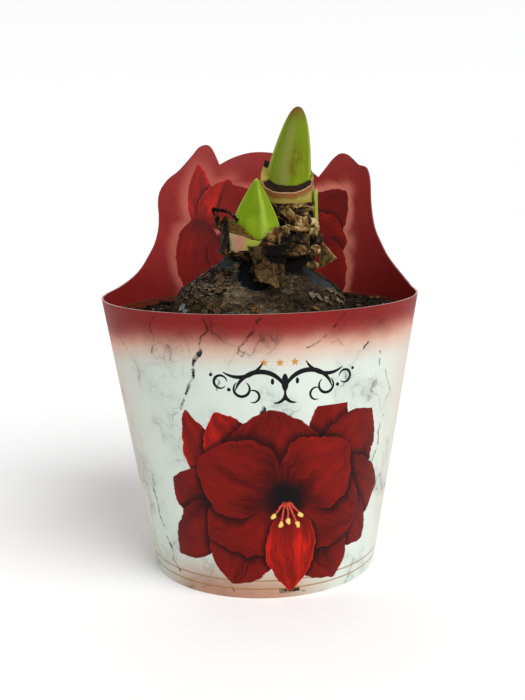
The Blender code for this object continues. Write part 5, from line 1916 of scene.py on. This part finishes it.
@dataclass(frozen=True)
class LeafBase(Finish):
    """A fleshy leaf base, cut across, whose cut edge has dried brown."""

    name: str
    left: Colour
    middle: Colour
    right: Colour
    top: Colour
    low: Colour
    dried: Colour
    dried_from: float
    spots: float
    top_from: float = 0.86
    low_from: float = 0.0
    # Where the left colour ends, the middle one starts and ends, and the right one starts
    blend: Point = (-0.75, -0.15, 0.0, 0.7)

    def paint(self, paint: Paint, place: Term) -> None:
        """Adds the leaf base's nodes.

        Args:
            paint: The material\'s nodes.
            place: The place on the piece.
        """
        side, rise, face = paint.mark("side"), paint.mark("rise"), paint.mark("face")
        turn = paint.mark("turn")
        vein = paint.join(turn * 46.0, rise * 1.5, 1.0).noise(1.0)
        cloud = place.noise(5.0)
        lean = side + (cloud - 0.5) * 0.35
        colour = paint.mix(lean.rise(*self.blend[:2]), self.left, self.middle)
        colour = paint.mix(lean.rise(*self.blend[2:]), colour, self.right)
        level = rise + (cloud - 0.5) * 0.1
        colour = paint.mix(level.rise(self.low_from, self.low_from - 0.07) * 0.85, colour, self.low)
        colour = paint.mix(level.rise(self.top_from, self.top_from + 0.1) * (0.5 + lean * 0.4), colour, self.top)
        colour = paint.mix(vein.rise(0.5, 0.78) * 0.3, colour, tuple(level * 0.7 for level in self.middle))
        spot = place.cells(2.5).rise(0.36, 0.14) * rise.rise(self.top_from + 0.03, self.top_from + 0.07)
        colour = colour.tint(spot * self.spots, 138, 26, 26)
        colour = colour.tint(rise.rise(0.984, 0.99) * self.spots * 0.7, 204, 170, 140)
        ragged = rise + (place.noise(1.4, 4.0) - 0.5) * 0.08
        dried = ragged.rise(self.dried_from, self.dried_from + 0.035).over(face.rise(0.2, 0.5))
        crust = place.times(1.0, 1.0, 2.0).noise(1.1, 4.0)
        crust = paint.mix(crust.rise(0.3, 0.7), tuple(level * 0.25 for level in self.dried), self.dried)
        colour = paint.mix(dried, colour, crust)
        height = vein * 0.6 + place.noise(0.8) * 0.4
        self.surface(paint, colour, 0.4 + dried * 0.35 + vein * 0.1, height, 0.16, 0.12,
                     Subsurface_Weight=0.08, Subsurface_Radius=(0.003, 0.002, 0.001), Subsurface_Scale=1.0)


def add_bud(form: Form, profile: Table, middle_y: float, pleats: float, ridge: float) -> None:
    """Adds a bud: an oval stem of changing width that ends in a tip.

    Args:
        form: Where to add it.
        profile: Height, half width, half depth and middle in X, from the foot to the tip.
        middle_y: Its middle in Y.
        pleats: How deep its pleats are, as a share.
        ridge: How far a ridge stands out at its front, as a share.
    """
    line = smooth_line(profile, 14)[:-1]
    turn = turns(BUD_COLUMNS)
    z, wide, deep, middle = (line[:, k][:, None] for k in range(4))
    rise = (z - z[0]) / (profile[-1][0] - z[0])
    front = np.maximum(0.0, np.cos(turn + math.radians(68))) ** 6
    veins = 0.004 * np.sin(37.0 * turn + 2.0 * np.sin(3.0 * turn))
    fuller = 1.0 + pleats * np.sin(9 * turn) * ease(1.0, 0.7, rise) + ridge * front + veins
    x, y = middle + wide * fuller * np.cos(turn), middle_y + deep * fuller * np.sin(turn)
    rings = at(x, y, z)
    marks = {"side": np.cos(turn), "rise": rise, "turn": np.abs(turn - math.pi)}
    foot = (profile[0][3], middle_y, profile[0][0])
    form.ball(rings, foot, (profile[-1][3], middle_y, profile[-1][0]), marks=marks)


@dataclass(frozen=True)
class MainShoot:
    """The flower bud, in the green leaf base, in the dried one, with a leaf's strip at its right."""

    bud: Table = rows(
        "150.3 7.5 5.6 13.9, 152 8.6 6.6 13.9, 160 9.4 7.3 14, 170 9.9 7.8 14.2, 180.7 9.9 7.8 14.5, "
        "190.6 8.3 6.8 16, 199.4 6.2 5.3 17.4, 204 4.7 4.2 18.1, 207 3.3 3.1 18.5, 209 1.8 1.7 18.8, "
        "209.8 0 0 18.9"
    )
    foot: float = 150.3
    inner_columns: int = 220
    dry_grid: tuple[int, int] = (230, 80)
    fold_grid: tuple[int, int] = (60, 44)
    strip_grid: tuple[int, int] = (90, 60)
    inner_outside: Point = (13.1, 12.5, 10.4)
    inner_inside: Point = (14.2, 10.5, 8.5)
    cut: float = 179.2
    slant: float = 0.60
    back_rise: float = 2.2
    tooth: Point = (156.0, 11.0, 3.0)  # a pointed bit left standing: its angle, its spread and its height
    left_rise: Point = (172.0, 34.0, 2.2)  # where the cut edge lies higher: its angle, its spread and how far
    dry_cut: float = 168.2
    dry_slant: float = 0.10
    dry_angles: Point = (42, 330)
    dry_wall: float = 0.7
    # Folds and torn bits on the front of the dried leaf base, by their lower and upper edges
    pieces: tuple[Torn, ...] = (
        # A near-black sheet: painted shade in a hollow among the dried folds.
        Torn("3 -9 160, 8 -10 156.4, 12 -10.4 155.6, 15.5 -10.4 155.6",
             "4.6 -8.8 166.8, 8.6 -10 166.2, 12 -10.4 163, 16 -10.4 160", (-0.4, -0.4), 0.2, crumple=0.2),
        Torn("4.6 -9.4 165.4, 10 -10.4 164.9, 17 -10.4 165.2, 24.8 -7.8 164.9",
             "4.6 -9.2 167.6, 10 -10 167.2, 17 -10 167.3, 24.8 -7.4 167", (0.4, 0.56, 0.42, 0.3), 0.5, columns=80),
        Torn("5.9 -9.9 166.5, 7.9 -10.4 162.9, 10.7 -10.8 160.4, 13.7 -10.8 158.6",
             "7.8 -10.4 166.3, 9.6 -10.8 164.1, 11.7 -11.2 162.1, 14.4 -11.2 159.8", (0.2, 0.34), 0.4),
        Torn("9 -10.8 164.9, 10.9 -11.2 162.7, 13 -11.4 160.8, 15.1 -11.4 158.6",
             "10.1 -10.9 166.1, 13.4 -11.2 165.4, 15.7 -11.2 163.6, 16.9 -11 160.7",
             (0.8, 0.52, 0.62, 0.6), 1.0, crumple=0.3),
        Torn("7.9 -11.4 160.8, 10 -11.8 159, 11.9 -11.8 157.9",
             "8.2 -11.2 162.2, 10.7 -11.4 160.8, 12.8 -11.4 159.1", (-0.2, 0.16), 0.5, crumple=0.3),
        Torn("15.4 -11.2 157.8, 17.4 -11.8 155.6, 20.9 -11.6 155.3, 23 -10.6 155.6",
             "15 -10.8 162.5, 17.4 -11.4 162, 20.3 -11 161.2, 21.6 -10.4 161.8",
             (0.5, 0.72, 0.66, 0.7), 1.0, crumple=0.3),
        Torn("13.6 -11.4 158.4, 15.4 -12 157.2, 17.8 -12.2 155.6",
             "14.3 -11.2 161.6, 16.2 -11.8 160.4, 18.4 -12 157.8", (0.14, 0.3, 0.7), 0.6, crumple=0.25),
        Torn("20.6 -10.8 160.8, 21.7 -10.8 159, 22 -10.4 156.5",
             "22.1 -9.6 162.5, 23.5 -9.4 161, 24.3 -9 158.9", (0.72, 0.34, 0.7), 0.8, crumple=0.25),
        Torn("16.6 -11 163, 20 -10.6 163.2, 22.2 -9.8 163.6, 24.8 -8.4 163.3",
             "17 -10.8 165.4, 20 -10.2 165.9, 22.6 -9.4 165.8, 25 -7.9 165", (0.3, 0.64, 0.4, 0.7), 0.8, crumple=0.4),
        Torn("15.6 -11.2 161.4, 18.6 -11.4 161.2, 21.8 -10.4 161.6",
             "15.8 -10.8 163.4, 18.8 -11 163.4, 22.4 -9.8 163.6", (0.2, 0.74, 0.4), 0.9, crumple=0.3),
        Torn("22 -9.8 156.4, 24 -8 156.8, 25.6 -5.8 156.1, 27.2 -3.4 154.2",
             "23.2 -8.8 160.7, 25.1 -6.8 160.4, 26.7 -4.6 159, 27.7 -2.4 156.5",
             (0.6, 0.9, 0.8), 0.7, crumple=0.4, ragged=0.5),
        Torn("22.3 -9.6 149.2, 22 -9.8 151.7, 22.4 -9.8 153.8, 22.8 -9.6 156.2",
             "24.9 -7.6 149.1, 24.7 -7.4 151.4, 24.9 -7.2 153.6, 25.4 -6.9 156", (0.86, 0.95, 0.8), 0.6, 0.3, 0.5),
    )
    strip_angles: Point = (-27, 37)
    strip_top: float = 173.6

    def build(self) -> None:
        """Builds the shoot's four pieces."""
        bud = Form()
        add_bud(bud, self.bud, NECK.main_axis[1], 0.012, 0.0)
        bud.build("flower_bud_skin", "bud_green", "flower_bud", MAIN_BUD)
        self.build_inner()
        self.build_dry()
        self.build_strip()

    def build_inner(self) -> None:
        """Builds the green leaf base, cut across on a slant."""
        form = Form()
        turn = turns(self.inner_columns)
        axis_y = NECK.main_axis[1]
        rings, marks = [], {"rise": [], "face": [], "side": [], "turn": []}
        steps = [(0.0, share) for share in np.linspace(0.0, 1.0, 48)]
        steps += [(share, 1.0) for share in np.linspace(0.0, 1.0, 9)[1:]]
        steps += [(1.0, share) for share in np.linspace(1.0, 0.0, 24)[1:]]
        front = ease(196.0, 224.0, np.degrees(turn)) * ease(346.0, 322.0, np.degrees(turn))
        for inwards, share in steps:
            middle, wide, deep = (a + (b - a) * inwards for a, b in zip(self.inner_outside, self.inner_inside))
            x, y = middle + wide * np.cos(turn), axis_y + deep * np.sin(turn)
            tip = np.maximum(1.0 - np.abs(np.degrees(turn) - self.tooth[0]) / self.tooth[1], 0.0)
            top = self.cut + self.slant * (y - axis_y) + 0.35 * crumple(at(x, y, 0.0), 2.4, 150)
            top = top + self.back_rise * ease(2.0, 10.0, y - axis_y) + self.tooth[2] * tip
            left = (np.degrees(turn) - self.left_rise[0]) / self.left_rise[1]
            top = top + self.left_rise[2] * np.exp(-left * left)
            top = top - 0.5 * math.sin(math.pi * inwards) + (0.7 * inwards - 1.1 * (1 - inwards)) * front
            z = self.foot + (top - self.foot) * share
            x = x + 2.2 * ease(173.0, 187.0, z) * np.maximum(-np.cos(turn), 0.0)
            rings.append(at(x, y, z))
            cut = float(0.0 < inwards < 1.0) + 0.0 * turn
            below = 1.0 - (top - z) / (self.cut - self.foot)
            marks["rise"].append(below if inwards == 0.0 else 0.0 * below)
            face = cut * (0.2 + 0.8 * front) if inwards < 1.0 else ease(1.6, 0.6, top - z) * front
            marks["face"].append(np.maximum(face, ease(0.2, 0.4, tip) * ease(2.8, 2.0, top - z)))
            marks["side"].append(np.cos(turn) if inwards < 1.0 else 0.0 * turn - 0.6)
            marks["turn"].append(np.abs(turn - math.pi))
        faces = form.quads(len(rings), len(turn), True, True)
        form.add(np.concatenate(rings), faces, marks={name: np.concatenate(marks[name]) for name in marks})
        form.build("green_leaf_base", "leaf_base_pale", "inner_leaf_base", INNER_BASE)

    def build_dry(self) -> None:
        """Builds the dried leaf base with its crushed folds."""
        form = Form()
        u, v = shares(*self.dry_grid)
        low, high = self.dry_angles
        self.add_dry(form, u, v, low, high, self.foot, self.dry_cut, 0.0, 160, 0.5, 0.55)
        for low, high, foot, top, grow, seed, tone in (
            (150, 196, 152.0, 163.0, 0.5, 191, 0.4), (60, 120, 153.0, 165.0, 0.5, 196, 0.5),
        ):
            u, v = shares(*self.fold_grid)
            self.add_dry(form, u, v, low, high, foot, top, grow, seed, tone, 0.6)
        for index, piece in enumerate(self.pieces):
            piece.add(form, 1300 + 40 * index)
        form.build("dry_leaf_wrap", "dry_scale", "dry_leaf_base", DRY_LEAF)

    def add_dry(self, form: Form, u: Array, v: Array, low: float, high: float, foot: float, top: float,
                grow: float, seed: int, tone: float, height: float) -> None:
        """Adds one dried sheet round the shoot.

        Args:
            form: Where to add it.
            u: Shares across.
            v: Shares up.
            low: The angle at which it starts.
            high: The angle at which it ends.
            foot: Its foot's height.
            top: Its top's height.
            grow: How far outside the first sheet it lies.
            seed: Which of many crumplings it has.
            tone: How light it is.
            height: How strongly it is crumpled.
        """
        edge = crumple(at(u * 24.0, seed, 0.0), 3.0, seed)
        side = crumple(at(v * 8.0, seed, np.round(u)), 2.0, seed + 3)
        degrees = low + (high - low) * u + side * 3.0
        spot = NECK.oval(NECK.main_axis, NECK.main_half, degrees, foot + (top - foot) * v)
        rim = top + self.dry_slant * (spot[..., 1] - NECK.main_axis[1]) + 0.9 * edge
        z = foot + (rim - foot) * v
        spot[..., 2] = z
        swell, fold = crinkle(spot, seed + 5, height, ease(0.0, 0.1, v) * ease(1.02, 0.9, v) * 0.8 + 0.2)
        points = NECK.oval(NECK.main_axis, NECK.main_half, degrees, z + 0.3 * swell, swell + grow)
        marks = {"tone": tone - 0.15 * ease(0.8, 1.0, v), "fold": fold, "across": u * (high - low) / 50.0, "along": v,
                 "grey": 0.0}
        form.sheet(points, self.dry_wall * 0.6, marks=marks)

    def build_strip(self) -> None:
        """Builds the strip of a leaf at the right, green with a pale crumpled edge."""
        form = Form()
        u, v = shares(*self.strip_grid)
        low, high = self.strip_angles
        top = self.strip_top - 5.0 * u**1.5 - 2.4 * np.abs(2.0 * u - 1.0) ** 6
        top = top + 0.8 * crumple(at(u * 20.0, 0.0, 0.0), 4.0, 200)
        degrees = low + (high - low) * u
        z = self.foot + (top - self.foot) * v
        spot = NECK.oval(NECK.main_axis, NECK.main_half, degrees, z)
        swell, _ = crinkle(spot, 205, 0.35, ease(0.7, 0.2, v))
        points = NECK.oval(NECK.main_axis, NECK.main_half, degrees, z, swell)
        marks = {"side": 2.0 * u - 1.0, "rise": v, "face": ease(0.25, 0.0, v) * 0.4, "turn": u * 1.4}
        form.sheet(points, self.dry_wall, marks=marks)
        form.build("leaf_strip", "leaf_base_pale", "side_leaf_strip", STRIP)


@dataclass(frozen=True)
class SecondShoot:
    """The second bud and the blush leaf base that wraps it."""

    bud: Table = rows(
        "146.7 6 4 0, 150 8.8 5.3 .2, 156 10.3 5.9 .3, 160 9.8 5.9 .1, 165 7.9 5.2 .1, 170 5.4 4 .3, "
        "174.5 2.9 2.5 .6, 177.6 1.1 1.1 .8, 178.6 0 0 .9"
    )
    foot: float = 146.7
    grid: tuple[int, int] = (150, 60)
    angles: Point = (-212, -36)
    # Its top edge, as shares of the way round and heights
    edge: Table = rows(
        "0 158, .12 160.4, .22 161.2, .34 160.8, .48 158.8, .57 156, .66 153.2, .78 152.4, .9 154.2, 1 155.6"
    )
    dried_line: Point = (-12.0, 155.2, -0.3)  # X, the height of the dried band's lower edge there, and its slope
    dried_end: float = -0.6
    wall: float = 1.1

    def build(self) -> None:
        """Builds the shoot's two pieces."""
        form = Form()
        profile = [(z, wide, deep, middle + NECK.second_axis[0]) for z, wide, deep, middle in self.bud]
        add_bud(form, profile, NECK.second_axis[1], 0.02, 0.22)
        form.build("second_bud_skin", "bud_green", "second_bud", SECOND_BUD)
        form = Form()
        u, v = shares(*self.grid)
        edge = smooth_line(self.edge, 6)
        top = np.interp(u, edge[:, 0], edge[:, 1])
        top = top + 0.7 * crumple(at(u * 34.0, 0.0, 0.0), 3.0, 210, 5)
        low, high = self.angles
        degrees = low + (high - low) * u
        z = self.foot + (top - self.foot) * v
        spot = NECK.oval(NECK.second_axis, NECK.second_half, degrees, z)
        start, height, slope = self.dried_line
        line = height + slope * (spot[..., 0] - start) + 1.2 * crumple(spot, 3.0, 214)
        dried = ease(-0.4, 0.4, z - line) * ease(self.dried_end + 1.0, self.dried_end - 1.0, spot[..., 0])
        dried = np.maximum(dried, ease(0.5, 0.2, top - z))
        swell, _ = crinkle(spot, 212, 0.7, dried)
        points = NECK.oval(NECK.second_axis, NECK.second_half, degrees, z, swell)
        marks = {"side": np.cos(np.radians(degrees)), "rise": 0.8 * v, "face": dried, "turn": u * 3.0}
        form.sheet(points, self.wall * (1.0 - 0.5 * v), marks=marks)
        form.build("blush_leaf_base", "leaf_base_blush", "second_leaf_base", SECOND_BASE)


@dataclass(frozen=True)
class Studio:
    """The pale floor, the soft light and the camera at the photograph's angle."""

    floor_size: float = 6.0
    camera_place: Point = (0.000739, -0.450, 0.181008)
    camera_pitch: float = 0.179
    camera_roll: float = -0.021
    focal_pixels: float = 981.797
    picture_height: float = 700.0
    zenith: float = 0.5
    key_from: Point = (0.52, -0.62, 0.80)
    key_strength: float = 2.35
    key_spread: float = 45.0

    def build(self) -> None:
        """Builds the studio."""
        self.add_floor()
        world = bpy.data.worlds.new("studio")
        bpy.context.scene.world = world
        world.use_nodes = True
        world.node_tree.nodes.clear()
        paint = Paint(world.node_tree)
        _, _, upwards = paint.split(paint.out("Generated", "ShaderNodeTexCoord"))
        sky = paint.mix(upwards.rise(0.05, 0.8), (1.0, 1.0, 1.0), (self.zenith,) * 3)
        light = paint.out("Background", "ShaderNodeBackground", {"Color": sky, "Strength": 1.0})
        paint.node("ShaderNodeOutputWorld", {"Surface": light})
        self.add_key()
        self.add_camera()
        bpy.context.scene.view_settings.view_transform = "Standard"

    def add_floor(self) -> None:
        """Adds the floor."""
        half = self.floor_size / 2.0
        mesh = bpy.data.meshes.new("floor")
        mesh.from_pydata([(-half, -half, 0), (half, -half, 0), (half, half, 0), (-half, half, 0)], [], [(0, 1, 2, 3)])
        mesh.materials.append(FLOOR.make())
        floor = enter("floor", mesh)

    def add_key(self) -> None:
        """Adds the large soft light from the right of the camera."""
        data = bpy.data.lights.new("key", "SUN")
        data.energy, data.angle = self.key_strength, math.radians(self.key_spread)
        light = enter("key", data)
        light.rotation_euler = (-Vector(self.key_from)).to_track_quat("-Z", "Y").to_euler()

    def add_camera(self) -> None:
        """Adds the camera."""
        data = bpy.data.cameras.new("camera")
        data.sensor_fit, data.sensor_height, data.clip_start = "VERTICAL", 24.0, 0.01
        data.lens = data.sensor_height * self.focal_pixels / self.picture_height
        ahead = Vector((0.0, math.cos(self.camera_pitch), -math.sin(self.camera_pitch)))
        up = Vector((0.0, math.sin(self.camera_pitch), math.cos(self.camera_pitch)))
        cos, sin = math.cos(self.camera_roll), math.sin(self.camera_roll)
        right, upright = Vector((cos, 0.0, 0.0)) + sin * up, Vector((-sin, 0.0, 0.0)) + cos * up
        camera = enter("camera", data)
        turned = Matrix((right, upright, -ahead)).transposed().to_4x4()
        turned.translation = self.camera_place
        camera.matrix_world = turned
        bpy.context.scene.camera = camera


@dataclass(frozen=True)
class FloorPaint(Finish):
    """A plain pale floor."""

    name: str = "studio_floor"

    def paint(self, paint: Paint, place: Term) -> None:
        """Adds the floor's nodes.

        Args:
            paint: The material\'s nodes.
            place: The place on the piece.
        """
        cloud = place.noise(60.0, 2.0)
        colour = paint.mix(cloud, (0.92, 0.92, 0.92), (0.94, 0.94, 0.94))
        self.surface(paint, colour, 0.9, cloud, 0.01, 0.1)


PETALS = Petals()
STROKES = Strokes()
MARBLE_FOOT = Marble("printed_marble_foot", upper=False)
MARBLE_RIM = Marble("printed_marble_rim", upper=True)
INNER_PRINT = InnerPrint()
CUT_CARD = CutCard()
POT_PLASTIC = PotPlastic()
PEAT = Peat()
TUNIC = Tunic()
DRY_LEAF = DryLeaf()
FLOOR = FloorPaint()
MAIN_BUD = BudSkin(
    "main_bud_skin", srgb(104, 124, 2), srgb(150, 162, 28), srgb(118, 122, 56), srgb(98, 76, 8), srgb(98, 50, 18),
    sheen_place=-0.3, sheen_width=0.5, sheen_share=0.8, blush_place=0.25, blush_share=0.9, tip_from=0.85, veins=0.16,
)
SECOND_BUD = BudSkin(
    "second_bud_green", srgb(106, 134, 0), srgb(152, 174, 36), srgb(168, 188, 76), srgb(96, 110, 4),
    srgb(160, 164, 62), sheen_place=0.32, sheen_width=0.2, sheen_share=0.5, blush_place=0.0, blush_share=0.5,
    tip_from=0.93, veins=0.4,
)
INNER_BASE = LeafBase(
    "green_base", srgb(148, 116, 48), srgb(116, 82, 24), srgb(120, 102, 36), srgb(130, 70, 48), srgb(152, 140, 62),
    srgb(46, 27, 13), dried_from=2.0, spots=0.85, top_from=0.87, low_from=0.93,
    blend=(-0.95, -0.6, 0.0, 0.7),
)
SECOND_BASE = LeafBase(
    "blush_base", srgb(184, 170, 132), srgb(180, 126, 98), srgb(144, 156, 56), srgb(164, 148, 74), srgb(150, 158, 66),
    srgb(112, 82, 34), dried_from=0.74, spots=0.0, blend=(-0.95, -0.62, -0.5, -0.2),
)
STRIP = LeafBase(
    "strip_green", srgb(132, 146, 40), srgb(196, 192, 118), srgb(140, 152, 52), srgb(196, 194, 116),
    srgb(150, 160, 60), srgb(96, 70, 38), dried_from=1.02, spots=0.0, blend=(-0.55, -0.05, 0.15, 0.6),
)
NECK = Neck()
BULB = Bulb()
POT = GrowingPot()


def main() -> None:
    """Builds the object's pieces in order, then the studio."""
    logging.basicConfig(level=logging.INFO, format="%(message)s")
    CardSleeve().build()
    POT.build()
    PottingSoil().build()
    BULB.build()
    NeckScales().build()
    MainShoot().build()
    SecondShoot().build()
    Studio().build()


if __name__ == "__main__":
    main()
